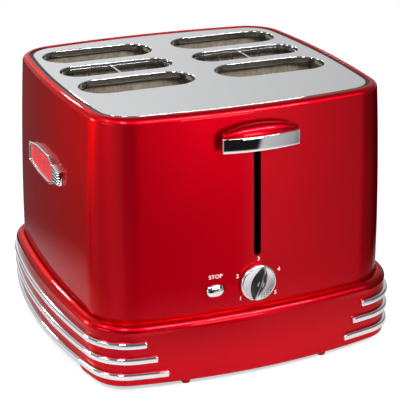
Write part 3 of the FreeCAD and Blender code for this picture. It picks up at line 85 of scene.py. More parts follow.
class Flow:
    """A socket of a node tree that takes part in arithmetic; each operator adds its Math node."""

    def __init__(self, tree, socket):
        self.tree = tree
        self.socket = socket

    def math(self, operation, *terms):
        node = self.tree.nodes.new("ShaderNodeMath")
        node.operation = operation
        for slot, term in zip(node.inputs, terms):
            if isinstance(term, Flow):
                self.tree.links.new(term.socket, slot)
            else:
                slot.default_value = term
        return Flow(self.tree, node.outputs[0])

    def __add__(self, other):
        return self.math("ADD", self, other)

    def __radd__(self, other):
        return self.math("ADD", other, self)

    def __sub__(self, other):
        return self.math("SUBTRACT", self, other)

    def __rsub__(self, other):
        return self.math("SUBTRACT", other, self)

    def __mul__(self, other):
        return self.math("MULTIPLY", self, other)

    def __rmul__(self, other):
        return self.math("MULTIPLY", other, self)

    def __truediv__(self, other):
        return self.math("DIVIDE", self, other)

    def __rtruediv__(self, other):
        return self.math("DIVIDE", other, self)

    def __pow__(self, other):
        return self.math("POWER", self, other)

    def __neg__(self):
        return self.math("MULTIPLY", self, -1.0)

    def __abs__(self):
        return self.math("ABSOLUTE", self)

    def least(self, other):
        return self.math("MINIMUM", self, other)

    def step(self, low, high):
        """0 below low, 1 above high and a smooth rise between; with low above high it falls."""
        node = self.tree.nodes.new("ShaderNodeMapRange")
        node.interpolation_type = "SMOOTHSTEP"
        self.tree.links.new(self.socket, node.inputs["Value"])
        node.inputs["From Min"].default_value = low
        node.inputs["From Max"].default_value = high
        return Flow(self.tree, node.outputs[0])


class Shading:
    """The node tree of one material or of the world."""

    def __init__(self, tree):
        self.tree = tree
        self.tree.nodes.clear()

    def node(self, kind, output=0, settings=None, **values):
        """Any node: its settings are set first, then its sockets by name, spaces as underscores."""
        node = self.tree.nodes.new("ShaderNode" + kind)
        for name, value in (settings or {}).items():
            if name == "stops":
                self.fill_ramp(node.color_ramp, value)
            else:
                setattr(node, name, value)
        for name, value in values.items():
            place = {"first": 0, "second": 1, "third": 2}.get(name, name.replace("_", " "))
            self.feed(node.inputs[place], value)
        return Flow(self.tree, node.outputs[output])

    def feed(self, slot, value):
        """Links a flow to a socket, or sets its number or colour."""
        if isinstance(value, Flow):
            self.tree.links.new(value.socket, slot)
        elif slot.type == "RGBA":
            slot.default_value = tuple(value) + (1.0,)
        else:
            slot.default_value = value

    def fill_ramp(self, ramp, stops):
        """Colour stops as (place, colour)."""
        while len(ramp.elements) < len(stops):
            ramp.elements.new(1.0)
        for element, (place, colour) in zip(ramp.elements, stops):
            element.position = place
            element.color = tuple(colour) + (1.0,)

    def blend(self, share, low, high):
        """Colour between low and high by share."""
        node = self.tree.nodes.new("ShaderNodeMix")
        node.data_type = "RGBA"
        for name, value in (("A", low), ("B", high)):
            self.feed([s for s in node.inputs if s.name == name and s.type == "RGBA"][0], value)
        self.feed(node.inputs["Factor"], share)
        return Flow(self.tree, [s for s in node.outputs if s.type == "RGBA"][0])

    def place(self, stretch=(1.0, 1.0, 1.0)):
        """Object coordinates, stretched per axis."""
        return self.node("Mapping", Vector=self.node("TexCoord", output="Object"), Scale=stretch)

    def parts(self, vector):
        """The three parts of a vector."""
        node = self.tree.nodes.new("ShaderNodeSeparateXYZ")
        self.tree.links.new(vector.socket, node.inputs[0])
        return [Flow(self.tree, output) for output in node.outputs]

    def noise(self, scale, stretch=(1.0, 1.0, 1.0), detail=2.0):
        """Cloud pattern from 0 to 1."""
        return self.node("TexNoise", Vector=self.place(stretch), Scale=scale, Detail=detail)

    def cells(self, scale, stretch=(1.0, 1.0, 1.0)):
        """Random shade of each cell of a cell pattern, as a grey."""
        shade = self.node("TexVoronoi", output="Color", Vector=self.place(stretch), Scale=scale)
        return self.node("RGBToBW", Color=shade)

    def bump(self, height, strength, depth):
        """Normal from a height pattern."""
        return self.node("Bump", Height=height, Strength=strength, Distance=depth)

    def rays(self):
        """1 for rays that look at the background, straight or through glass; 1 for glossy rays."""
        node = self.tree.nodes.new("ShaderNodeLightPath")
        camera, glossy, through = (Flow(self.tree, node.outputs[name]) for name in
                                   ("Is Camera Ray", "Is Glossy Ray", "Is Transmission Ray"))
        return (camera + through).least(1.0), glossy

    def finish(self, kind, shader):
        """Ends the tree with the output node of a material or of the world."""
        output = self.tree.nodes.new("ShaderNodeOutput" + kind)
        self.tree.links.new(shader.socket, output.inputs["Surface"])


def start_finish(name):
    """New material and its empty node tree."""
    material = bpy.data.materials.new(name)
    material.use_nodes = True
    return material, Shading(material.node_tree)


def complete(material, s, **sockets):
    """Adds the Principled shader, its sockets as constants or flows, and the output."""
    s.finish("Material", s.node("BsdfPrincipled", **sockets))
    return material


# ------------------------------------------------------------------ finishes

def candy_red(name, deep, light, rough):
    """Metallic red under clear lacquer: flakes vary the shade, the lacquer has a faint peel."""
    material, s = start_finish(name)
    flakes = s.cells(scale=2600.0)
    cloud = s.noise(scale=14.0, detail=1.0)
    peel = s.bump(s.noise(scale=230.0, detail=1.0), strength=0.02, depth=0.0004)
    return complete(material, s, Base_Color=s.blend(flakes * 0.55 + cloud * 0.45, deep, light),
                    Metallic=1.0, Roughness=rough + 0.05 * cloud, Specular_Tint=(0.55, 0.02, 0.03),
                    Coat_Weight=1.0, Coat_Roughness=0.03, Coat_IOR=1.22, Normal=peel)


def bright_metal(name, shade, rough, smear=0.03):
    """Polished metal: almost no roughness, with faint uneven wiping marks."""
    material, s = start_finish(name)
    wipe = s.noise(scale=26.0, stretch=(1.0, 1.0, 2.5), detail=3.0)
    tone = [c * 0.96 for c in shade]
    return complete(material, s, Base_Color=s.blend(wipe, tone, shade), Metallic=1.0,
                    Roughness=rough + smear * wipe)


def drawn_metal(name, low, high, rough, stretch):
    """Drawn or rolled metal: fine lines along one axis change shade and roughness."""
    material, s = start_finish(name)
    lines = s.noise(scale=900.0, stretch=stretch)
    share = lines * 0.6 + s.noise(scale=30.0) * 0.4
    return complete(material, s, Base_Color=s.blend(share, low, high), Metallic=1.0,
                    Roughness=rough + 0.18 * lines,
                    Normal=s.bump(lines, strength=0.12, depth=0.0002))


def zinc_sheet():
    """Plated sheet with a faint spangle."""
    material, s = start_finish("plated_sheet")
    stain = s.noise(scale=22.0, detail=4.0)
    share = s.cells(scale=150.0) * 0.5 + stain * 0.5
    return complete(material, s, Base_Color=s.blend(share, (0.36, 0.36, 0.37), (0.58, 0.58, 0.57)),
                    Metallic=0.9, Roughness=0.3 + 0.22 * stain)


def mica_sheet():
    """Pressed mica flakes in brown and silver tones."""
    material, s = start_finish("mica_board")
    flakes = s.cells(scale=420.0, stretch=(1.0, 1.0, 0.6))
    fine = s.noise(scale=700.0, detail=3.0)
    brown = s.blend(flakes, (0.17, 0.125, 0.075), (0.38, 0.32, 0.24))
    return complete(material, s, Base_Color=s.blend(fine * 0.35, brown, (0.48, 0.43, 0.35)),
                    Metallic=0.15, Roughness=0.42 + 0.2 * flakes,
                    Normal=s.bump(flakes, strength=0.2, depth=0.0003))


def dull_black(name, shade, rough):
    """Matt moulding or rubber with a fine grain."""
    material, s = start_finish(name)
    skin = s.noise(scale=1500.0)
    light = [c * 1.8 + 0.004 for c in shade]
    return complete(material, s, Base_Color=s.blend(skin, shade, light),
                    Roughness=rough + 0.12 * skin,
                    Normal=s.bump(skin, strength=0.25, depth=0.0002))


def green_board():
    """Printed board: green mask with paler conductor lines."""
    material, s = start_finish("green_board")
    lines = s.noise(scale=90.0, stretch=(1.0, 1.0, 3.0), detail=0.0)
    trace = abs(lines - 0.5).step(0.03, 0.0)
    return complete(material, s, Roughness=0.35,
                    Base_Color=s.blend(trace, (0.006, 0.045, 0.014), (0.02, 0.12, 0.04)),
                    Normal=s.bump(trace, strength=0.2, depth=0.0002))


def badge_enamel():
    """Bright red enamel with soft ripples."""
    material, s = start_finish("badge_enamel")
    ripple = s.noise(scale=160.0)
    return complete(material, s,
                    Base_Color=s.blend(ripple, (0.78, 0.018, 0.03), (0.95, 0.06, 0.07)),
                    Roughness=0.22 + 0.1 * ripple, Coat_Weight=0.6, Coat_Roughness=0.05,
                    Normal=s.bump(ripple, strength=0.35, depth=0.0006))


def dial_ink():
    """White print with slightly uneven cover."""
    material, s = start_finish("dial_ink")
    cover = s.noise(scale=900.0)
    return complete(material, s, Roughness=0.5,
                    Base_Color=s.blend(cover, (0.80, 0.62, 0.63), (0.92, 0.79, 0.80)))


def grip_painted_reflections():
    """Painted reflections: black flanks for the dark ones, a bright line along the ridge for the
    highlight.

    The line lies where the crosswise distance from the grip's long axis, x cos(rest) -
    z sin(rest) about the knob's centre, is small.
    """
    material, s = start_finish("grip_painted_reflections")
    x, _, z = s.parts(s.node("TexCoord", output="Object"))
    rest = math.radians(KNOB_REST)
    across = x * math.cos(rest) - (z - KNOB_Z * MM) * math.sin(rest)
    # painted highlight: the colour turns bright and metallic along the grip's ridge
    line = abs(across).step(*RIDGE_HIGHLIGHT)
    skin = s.noise(scale=600.0)
    # painted dark reflection: the flanks are coloured near black in place of the dark studio they
    # mirror
    black = s.blend(skin, (0.006, 0.007, 0.009), (0.016, 0.017, 0.020))
    return complete(material, s, Base_Color=s.blend(line, black, (0.88, 0.88, 0.90)),
                    Metallic=line, Roughness=0.10 + 0.05 * skin)


RED_PAINT = candy_red("candy_red_paint", (0.56, 0.0, 0.007), (0.70, 0.001, 0.013), 0.38)
RED_MOULDING = candy_red("candy_red_moulding", (0.54, 0.0, 0.007), (0.68, 0.001, 0.013), 0.31)
CHROME = bright_metal("bright_chrome", (0.88, 0.88, 0.90), 0.03)
SATIN = bright_metal("satin_chrome", (0.93, 0.93, 0.95), 0.24)
MIRROR = bright_metal("polished_plate", (0.86, 0.87, 0.88), 0.025, smear=0.02)
WIRE = bright_metal("bright_wire", (0.80, 0.80, 0.80), 0.12, smear=0.06)
STEEL_ROD = drawn_metal("drawn_rod", (0.50, 0.50, 0.50), (0.72, 0.72, 0.71), 0.2,
                        stretch=(8.0, 8.0, 0.4))
RIBBON = drawn_metal("heating_ribbon", (0.20, 0.17, 0.15), (0.42, 0.38, 0.34), 0.35,
                     stretch=(0.3, 4.0, 8.0))
ZINC = zinc_sheet()
MICA = mica_sheet()
RUBBER = dull_black("gasket_rubber", (0.010, 0.010, 0.011), 0.55)
BLACK_MOULDING = dull_black("black_moulding", (0.016, 0.016, 0.017), 0.42)
DARK_PARTS = dull_black("dark_parts", (0.030, 0.031, 0.036), 0.35)
BOARD = green_board()
ENAMEL = badge_enamel()
INK = dial_ink()

FINISH_OF_SLOT = {"red_paint": RED_PAINT, "red_plastic": RED_MOULDING, "chrome_trim": CHROME,
                  "badge_red": ENAMEL, "polished_steel": MIRROR, "black_gasket": RUBBER,
                  "black_plastic": BLACK_MOULDING, "mica": MICA, "heating_ribbon": RIBBON,
                  "chromed_wire": WIRE, "bright_steel": STEEL_ROD, "steel_sheet": ZINC,
                  "circuit_board": BOARD, "dark_component": DARK_PARTS}


def dress_cad_nodes():
    """Gives every node of the frame the finish of its material slot."""
    for row in frame["record"]["subparts"]:
        node = frame["nodes"][row["node"]]
        node.data.materials.clear()
        node.data.materials.append(FINISH_OF_SLOT[row["material_slot"]])


# ------------------------------------------------------------------ meshes from arrays

CREASE = 35.0
WELD_GAP = 2e-6


def mesh_piece(name, points, faces, material):
    """Object from points in millimetres and lists of face corners."""
    mesh = bpy.data.meshes.new(name)
    mesh.from_pydata((np.asarray(points, float) * MM).tolist(), [], faces)
    mesh.validate()
    mesh.materials.append(material)
    return add_object(name, mesh)


def soften(piece, crease=CREASE):
    """Smooth shading, hard where two faces meet at more than crease degrees."""
    piece.data.shade_smooth()
    piece.data.set_sharp_from_angle(angle=math.radians(crease))
    return piece


def grid_faces(rows, columns, wrap_rows=False, wrap_columns=False):
    """Quads of a grid of rows x columns points, as rows of indices."""
    r, c = np.meshgrid(np.arange(rows if wrap_rows else rows - 1),
                       np.arange(columns if wrap_columns else columns - 1), indexing="ij")
    next_r, next_c = (r + 1) % rows, (c + 1) % columns
    quads = [r * columns + c, r * columns + next_c, next_r * columns + next_c, next_r * columns + c]
    return np.stack(quads, axis=-1).reshape(-1, 4)


def ringed(name, grids, material):
    """One piece from several grids whose rows are closed rings."""
    starts = np.cumsum([0] + [grid.shape[0] * grid.shape[1] for grid in grids])
    faces = [grid_faces(*grid.shape[:2], wrap_columns=True) + start
             for grid, start in zip(grids, starts)]
    points = np.concatenate([grid.reshape(-1, 3) for grid in grids])
    return mesh_piece(name, points, np.concatenate(faces).tolist(), material)


def weld(piece):
    """Merges doubled points of seams and poles and turns all faces outwards."""
    work = bmesh.new()
    work.from_mesh(piece.data)
    bmesh.ops.remove_doubles(work, verts=work.verts, dist=WELD_GAP)
    bmesh.ops.dissolve_degenerate(work, edges=work.edges, dist=WELD_GAP * 0.2)
    bmesh.ops.recalc_face_normals(work, faces=work.faces)
    work.to_mesh(piece.data)
    work.free()
    return piece


def surface(name, grid, material, wrap_rows=False, wrap_columns=False, caps=(), crease=CREASE):
    """Closed piece from a grid of points (rows, columns, 3); caps lists the end rows that are
    closed with one face."""
    rows, columns = grid.shape[:2]
    faces = grid_faces(rows, columns, wrap_rows, wrap_columns).tolist()
    faces += [list(range(row * columns, (row + 1) * columns)) for row in caps]
    return soften(weld(mesh_piece(name, grid.reshape(-1, 3), faces, material)), crease)


def arc(centre, radius, start, end, count):
    """Points of a circular arc in a plane, from angle start to end in degrees."""
    turn = np.radians(np.linspace(start, end, count))
    return np.stack([centre[0] + radius * np.cos(turn), centre[1] + radius * np.sin(turn)], axis=-1)


def circle(x, z, radius, count=64):
    """Points of a closed circle."""
    return arc((x, z), radius, 0, 360 - 360 / count, count)


def round_ended(x, z, half_x, half_z, count=33):
    """Outline with round ends, lying or upright: two half circles joined by straight runs."""
    if half_z > half_x:
        return np.concatenate([arc((x, z + half_z - half_x), half_x, 0, 180, count),
                               arc((x, z - half_z + half_x), half_x, 180, 360, count)])
    return np.concatenate([arc((x + half_x - half_z, z), half_z, -90, 90, count),
                           arc((x - half_x + half_z, z), half_z, 90, 270, count)])


def bar(name, outline, near, far, along_x=False):
    """Straight bar with closed ends: an outline moved along y, or along x."""
    rows = []
    for place in (near, far):
        across, height = np.asarray(outline, float).T
        run = np.full(len(across), place)
        rows.append(np.column_stack([run, across, height] if along_x else [across, run, height]))
    return surface(name, np.stack(rows), CHROME, wrap_columns=True, caps=(0, 1))


def turned(name, profile, x, z, sides, material, **closing):
    """Body of revolution about a line along y: each profile point is (radius, y)."""
    profile = np.array(profile)
    turn = np.linspace(0, 2 * math.pi, sides + 1)[:-1]
    grid = np.stack([x + profile[:, :1] * np.cos(turn),
                     np.broadcast_to(profile[:, 1:], (len(profile), sides)),
                     z + profile[:, :1] * np.sin(turn)], axis=-1)
    return surface(name, grid, material, wrap_columns=True, **closing)


def carve(piece, cutters):
    """Takes the cutters out of the piece exactly, then deletes them."""
    for cutter in cutters:
        cut = piece.modifiers.new("hole", "BOOLEAN")
        cut.operation = "DIFFERENCE"
        cut.solver = "EXACT"
        cut.object = cutter
    graph = bpy.context.evaluated_depsgraph_get()
    cut_mesh = bpy.data.meshes.new_from_object(piece.evaluated_get(graph))
    piece.modifiers.clear()
    piece.data = cut_mesh
    for cutter in cutters:
        bpy.data.objects.remove(cutter)
    return soften(piece)


def join(name, pieces):
    """One object from several closed meshes, each with its own material."""
    work = bmesh.new()
    shades = [piece.data.materials[0] for piece in pieces]
    for index, piece in enumerate(pieces):
        count = len(piece.data.polygons)
        piece.data.polygons.foreach_set("material_index", np.full(count, index, dtype=np.int32))
        work.from_mesh(piece.data)
        bpy.data.objects.remove(piece)
    mesh = bpy.data.meshes.new(name)
    work.to_mesh(mesh)
    work.free()
    for shade in shades:
        mesh.materials.append(shade)
    return add_object(name, mesh)


def fit_out(piece, body, slot, *nodes):
    """Hangs a finished piece on its body in place of the nodes."""
    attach(piece, body)
    if nodes:
        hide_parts(*nodes)


# ------------------------------------------------------------------ shared curves

def bow_radius(half, bow):
    """Radius of the arc that stands bow high over a chord of twice half."""
    return (half ** 2 + bow ** 2) / (2 * bow)


def quarter_rise(from_tip, length):
    """0 at the tip, 1 beyond length, and a quarter circle between."""
    return np.sqrt(np.clip(1 - np.square(1 - np.clip(from_tip / length, 0, 1)), 0, 1))


def stations(*columns):
    """Rows of numbers from arrays of one length; a single number is repeated in every row."""
    return np.column_stack(np.broadcast_arrays(*columns))


def lifted(flat, z):
    """Grid of points from a grid of x and y and the heights z."""
    return np.concatenate([flat, np.broadcast_to(z, flat.shape[:2])[..., None]], axis=-1)


def backed(top, axis, place):
    """Grid closed behind by its own shadow on the plane where the axis is at place."""
    foot = top.copy()
    foot[..., axis] = place
    return np.concatenate([top, foot[:, ::-1]], axis=1)


# ------------------------------------------------------------------ plan outlines

class Plan:
    """Bowed rounded rectangle: four long arcs and four tangent corner arcs.

    Every point is centre + (radius + offset) * normal, so an offset only moves it along its normal.
    """

    def __init__(self, half_x, half_y, bow_front, bow_side, corner):
        self.half_x, self.half_y, self.corner = half_x, half_y, corner
        self.r_front = bow_radius(half_x - bow_side, bow_front)
        self.r_side = bow_radius(half_y - bow_front, bow_side)
        front = np.array([0.0, half_y - self.r_front])
        side = np.array([half_x - self.r_side, 0.0])
        apart = side - front
        gap = np.hypot(*apart)
        near = self.r_front - corner
        along = (near ** 2 - (self.r_side - corner) ** 2 + gap ** 2) / (2 * gap)
        across = math.sqrt(near ** 2 - along ** 2)
        unit = apart / gap
        foot = front + unit * along
        normal = np.array([-unit[1], unit[0]])
        ends = [foot + normal * across, foot - normal * across]
        self.corner_at = max(ends, key=lambda p: p[0] + p[1])
        self.front_half = math.atan2(self.corner_at[0] - front[0], self.corner_at[1] - front[1])
        self.side_half = math.atan2(self.corner_at[1] - side[1], self.corner_at[0] - side[0])

    def loop(self, on_front=96, on_side=72, on_corner=36):
        """Base points and outward normals of the closed outline, from the middle of the front."""
        b, g = self.front_half, self.side_half
        q = math.pi / 2
        cx, cy = self.corner_at
        fc, sc = self.half_y - self.r_front, self.half_x - self.r_side
        edges = [-q, b - q, -g, g, q - b, q + b, 2 * q - g, 2 * q + g, 3 * q - b, 3 * q]
        centres = [(0, -fc), (cx, -cy), (sc, 0), (cx, cy), (0, fc), (-cx, cy), (-sc, 0), (-cx, -cy),
                   (0, -fc)]
        radii = [self.r_front, self.corner, self.r_side, self.corner] * 2 + [self.r_front]
        counts = [on_front // 2, on_corner, on_side, on_corner, on_front, on_corner, on_side,
                  on_corner, on_front // 2]
        points, normals = [], []
        for start, end, centre, radius, count in zip(edges, edges[1:], centres, radii, counts):
            turn = start + (end - start) * np.arange(count) / count
            normal = np.stack([np.cos(turn), np.sin(turn)], axis=-1)
            points.append(np.array(centre) + radius * normal)
            normals.append(normal)
        return np.concatenate(points), np.concatenate(normals)

    def front_y(self, x, grow=0.0):
        """Y of the front face at x."""
        return self.r_front - self.half_y - np.sqrt((self.r_front + grow) ** 2 - np.square(x))

    def side_x(self, y, grow=0.0):
        """X of the left face at y."""
        return self.r_side - self.half_x - np.sqrt((self.r_side + grow) ** 2 - np.square(y))


BODY = Plan(140.0, 135.0, 12.0, 9.0, 42.0)
FOOTLINE = Plan(151.0, 146.0, 17.0, 19.5, 31.0)
SHOULDER = Plan(148.0, 143.0, 13.0, 11.0, 46.0)
SHELL_BASE, RIM, TAPER, BELLY = 52.0, 233.0, 6.0, 1.6
KNOB_Z, STOP_X, STOP_Z, GLAND_X, GLAND_Z = 82.0, -38.0, 80.0, -92.0, 84.0


def taper_at(z):
    """How far the body wall has moved inwards at height z: a straight taper less a belly."""
    share = (z - SHELL_BASE) / (RIM - SHELL_BASE)
    return TAPER * share - 4 * BELLY * share * (1 - share)


def wall_y(x, z):
    """Y of the body's front face at x and z."""
    return BODY.front_y(x, -taper_at(z))


def carried(plans, rows):
    """Profile carried round blended outlines.

    Each row is (share of each plan..., offset, z): the point is the blend of the plans' points
    plus offset times the blended normal, at height z.
    """
    loops = [plan.loop() for plan in plans]
    count = len(plans)
    shares, offset, z = rows[:, :count], rows[:, count], rows[:, count + 1]
    base = np.einsum("sk,knd->snd", shares, np.stack([points for points, normals in loops]))
    normal = np.einsum("sk,knd->snd", shares, np.stack([normals for points, normals in loops]))
    return lifted(base + offset[:, None, None] * normal, z[:, None])


# ------------------------------------------------------------------ body

SHEET, RIM_ROUND, RIM_LIP = 1.2, 5.5, 0.7
RECESS, RECESS_TOP, LEDGE_Z, LEDGE_IN = 12.5, 231.5, 229.3, -19.5
LINING_TOP = 226.0
LEVER_SLOT = (0.0, 160.0, 3.25, 54.0)
STOP_HOLE = (STOP_X, STOP_Z, 8.6, 6.4)
SHAFT_HOLE, GLAND_HOLE = 6.0, 7.0
FRONT_CUT, REAR_CUT = (-160.0, -114.0), (96.0, 150.0)


def build_shell():
    """Sheet body: the wall rises with its taper and belly, rolls over the rim in a 5.5 mm arc,
    drops into the plate recess and returns inside at sheet thickness; holes are cut through it."""
    turn_z = RIM - RIM_ROUND
    centre = -taper_at(turn_z) - RIM_ROUND
    wall_z = np.linspace(SHELL_BASE, turn_z, 34)
    lining_z = np.linspace(LINING_TOP, SHELL_BASE, 12)
    profile = np.vstack([stations(-taper_at(wall_z), wall_z),
                         arc((centre, turn_z), RIM_ROUND, 4, 90, 17),
                         arc((RIM_LIP - RECESS, RIM - RIM_LIP), RIM_LIP, 90, 180, 7),
                         [(-RECESS, RECESS_TOP), (-RECESS, LEDGE_Z), (LEDGE_IN, LEDGE_Z),
                          (LEDGE_IN, LEDGE_Z - SHEET), (SHEET - RECESS, LEDGE_Z - SHEET),
                          (SHEET - RECESS, RIM - SHEET - 0.05)],
                         arc((centre, turn_z), RIM_ROUND - SHEET, 88, 4, 7),
                         stations(-taper_at(lining_z) - SHEET, lining_z)])
    shell = surface("toaster_body", carried([BODY], stations(1.0, *profile.T)), RED_PAINT,
                    wrap_rows=True, wrap_columns=True)
    carve(shell, [bar("cut_slot", round_ended(*LEVER_SLOT), *FRONT_CUT),
                  bar("cut_shaft", circle(0.0, KNOB_Z, SHAFT_HOLE), *FRONT_CUT),
                  bar("cut_stop", round_ended(*STOP_HOLE), *FRONT_CUT),
                  bar("cut_gland", circle(GLAND_X, GLAND_Z, GLAND_HOLE), *REAR_CUT)])
    fit_out(shell, "housing", "red_paint", "body_shell")


# ------------------------------------------------------------------ skirt, strips and feet

SKIRT_LOW, SKIRT_HIGH, SKIRT_WALL = 6.0, 60.5, 2.5
HEM_ROUND, HEM_INSET = 1.8, 1.84
SHOULDER_ROUND, SHOULDER_INSET, SHOULDER_Z, WALL_TOP = 6.5, 6.3, 54.0, 53.6
BEAD_ROUND, SHELL_GAP = 0.9, 0.3
SEAT_WIDTH, SEAT_LOW, LINING_MIDDLE = 6.0, 48.5, 30.0
ARCH_OUTER, ARCH_INNER, ARCH_HIGH, BELOW_SKIRT, PAST_SIDES = 94.0, 84.0, 11.8, 5.0, 200.0
TRAY_GAP, TRAY_CUT = 0.5, (90.0, 170.0)


def skirt_share(z):
    """Share of the shoulder outline in the skirt's wall at height z."""
    return (z - SKIRT_LOW) / (SKIRT_HIGH - SKIRT_LOW)


def on_wall(offset, z):
    """Stations on the skirt's wall, where the foot line gives way to the shoulder outline."""
    share = skirt_share(z)
    return stations(1.0 - share, share, 0.0, offset, z)


def beside_shell(offset, z):
    """Stations that follow the body's outline."""
    return stations(0.0, 0.0, 1.0, offset, z)


def build_skirt():
    """Moulded base: flared wall from the foot line, shoulder rolled over in a 6.5 mm arc, flat top
    with a small bead beside the shell, seat for the shell and an inner wall."""
    hem = arc((-HEM_INSET, SKIRT_LOW + HEM_ROUND), HEM_ROUND, 270, 354, 9)
    shoulder = arc((-SHOULDER_INSET, SHOULDER_Z), SHOULDER_ROUND, 3, 90, 17)
    bead = arc((SHELL_GAP + BEAD_ROUND, SKIRT_HIGH - BEAD_ROUND), BEAD_ROUND, 90, 180, 7)
    seat = np.array([(SHELL_GAP, SHELL_BASE), (-SEAT_WIDTH, SHELL_BASE), (-SEAT_WIDTH, SEAT_LOW)])
    rows = np.vstack([on_wall(*hem.T),
                      on_wall(0.0, np.linspace(SKIRT_LOW + HEM_ROUND + 0.4, WALL_TOP, 18)),
                      stations(0.0, 1.0, 0.0, *shoulder.T),
                      beside_shell(*bead.T), beside_shell(*seat.T),
                      on_wall(-SKIRT_WALL, np.array([SEAT_LOW, LINING_MIDDLE, SKIRT_LOW]))])
    skirt = surface("flared_base", carried([FOOTLINE, SHOULDER, BODY], rows), RED_MOULDING,
                    wrap_rows=True, wrap_columns=True)
    low_corner, high_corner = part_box("crumb_tray_door")
    x = high_corner.x / MM + TRAY_GAP
    z0, z1 = low_corner.z / MM - TRAY_GAP, high_corner.z / MM + TRAY_GAP
    arch = [(ARCH_OUTER, BELOW_SKIRT), (ARCH_OUTER, SKIRT_LOW), (ARCH_INNER, ARCH_HIGH),
            (-ARCH_INNER, ARCH_HIGH), (-ARCH_OUTER, SKIRT_LOW), (-ARCH_OUTER, BELOW_SKIRT)]
    carve(skirt, [bar("cut_tray", [(-x, z0), (x, z0), (x, z1), (-x, z1)], *TRAY_CUT),
                  bar("cut_arches", arch, -PAST_SIDES, PAST_SIDES, along_x=True)])
    fit_out(skirt, "housing", "red_plastic", "base_skirt")


STRIP_Z, STRIP_PITCH, STRIP_HALF, STRIP_POWER, STRIP_SUNK = 15.8, 14.0, 3.0, 3.5, 0.9
STRIP_FRONT_X, STRIP_STEP_X, STRIP_REAR_X = 81.5, 9.0, 119.0
STRIP_COUNTS = (240, 200, 120)
END_CLOSE, END_SWELL, END_STAND, END_HEIGHT = 1.9, 1.8, 1.1, 0.4


def build_strip(side, level, name):
    """Chrome bar with a softly squared section, |x/3|^3.5 + |z/3|^3.5 = 1, carried along the skirt
    at one height from the front end round the side to the rear corner; its ends are rounded."""
    z = STRIP_Z + STRIP_PITCH * level
    share = skirt_share(z)
    foot, shoulder = FOOTLINE.loop(*STRIP_COUNTS), SHOULDER.loop(*STRIP_COUNTS)
    base, normal = (foot[i] * (1 - share) + shoulder[i] * share for i in (0, 1))
    half = len(base) // 2
    base, normal = base[:half + 1], normal[:half + 1]
    run = np.concatenate([[0.0], np.cumsum(np.hypot(*np.diff(base, axis=0).T))])
    front_x = STRIP_FRONT_X + STRIP_STEP_X * level
    front_tip = np.interp(front_x, base[:half // 2, 0], run[:half // 2])
    rear_tip = np.interp(STRIP_REAR_X, base[half // 2:, 0][::-1], run[half // 2:][::-1])
    near = END_CLOSE * (1 - np.cos(np.linspace(0, math.pi / 2, 13)))
    middle = np.linspace(front_tip + STRIP_HALF, rear_tip - STRIP_HALF, 160)
    places = np.concatenate([front_tip + near, middle, rear_tip - near[::-1]])
    from_tip = np.minimum(places - front_tip, rear_tip - places)
    swell = END_HEIGHT + (1 - END_HEIGHT) * quarter_rise(from_tip, END_SWELL)
    stand = quarter_rise(from_tip, END_STAND)
    at, out = (np.stack([np.interp(places, run, along[:, i]) for i in (0, 1)], axis=-1)
               for along in (base, normal))
    turn = np.linspace(-math.pi / 2, math.pi / 2, 27)
    outer = [STRIP_HALF * np.abs(np.cos(turn)) ** (2 / STRIP_POWER),
             STRIP_HALF * np.sign(turn) * np.abs(np.sin(turn)) ** (2 / STRIP_POWER)]
    section = np.vstack([(-STRIP_SUNK, -STRIP_HALF), stations(*outer), (-STRIP_SUNK, STRIP_HALF)])
    proud = section[:, 0] * np.where(section[:, 0] > 0, stand[:, None], 1.0)
    tall = section[:, 1] * swell[:, None]
    grid = lifted(at[:, None, :] + proud[..., None] * out[:, None, :], z + tall)
    if side == "left":
        grid = grid * (-1.0, 1.0, 1.0)
    strip = surface(name, grid, CHROME, wrap_columns=True, crease=50.0)
    fit_out(strip, "housing", "chrome_trim", name)


FOOT_PROFILE = ((0.0, 0.0), (2.6, 0.0), (3.4, 0.25), (3.8, 0.9), (4.5, 7.9), (0.0, 7.9))
FOOT_X, FOOT_Y, FOOT_SIDES = 64.0, 132.5, 32


def build_feet():
    """Four small feet: a tapered profile with a rounded toe turned about each foot's axis."""
    radius, z = np.array(FOOT_PROFILE).T[:, :, None]
    turn = np.linspace(0, 2 * math.pi, FOOT_SIDES + 1)[:-1]
    one = lifted(np.stack([radius * np.cos(turn), radius * np.sin(turn)], axis=-1), z)
    grids = [one + (x, y, 0.0) for x in (-FOOT_X, FOOT_X) for y in (-FOOT_Y, FOOT_Y)]
    feet = soften(weld(ringed("small_feet", grids, RED_MOULDING)), crease=40.0)
    fit_out(feet, "housing", "red_plastic", "feet")


# ------------------------------------------------------------------ plate

PLATE_INSET, PLATE_TOP, PLATE_LOW, PLATE_ROUND, FLAT_RING = 15.7, 232.4, 230.8, 0.6, 0.1
OPENING_MIDDLE, OPENING_HALF = 62.5, 51.5
OPENING_ROWS = ((-24.0, 42.0), (27.0, 34.0), (78.0, 42.0))
OPENING_ROLL, LIP_DEPTH, LIP_SHEET = 0.8, 4.0, 1.2


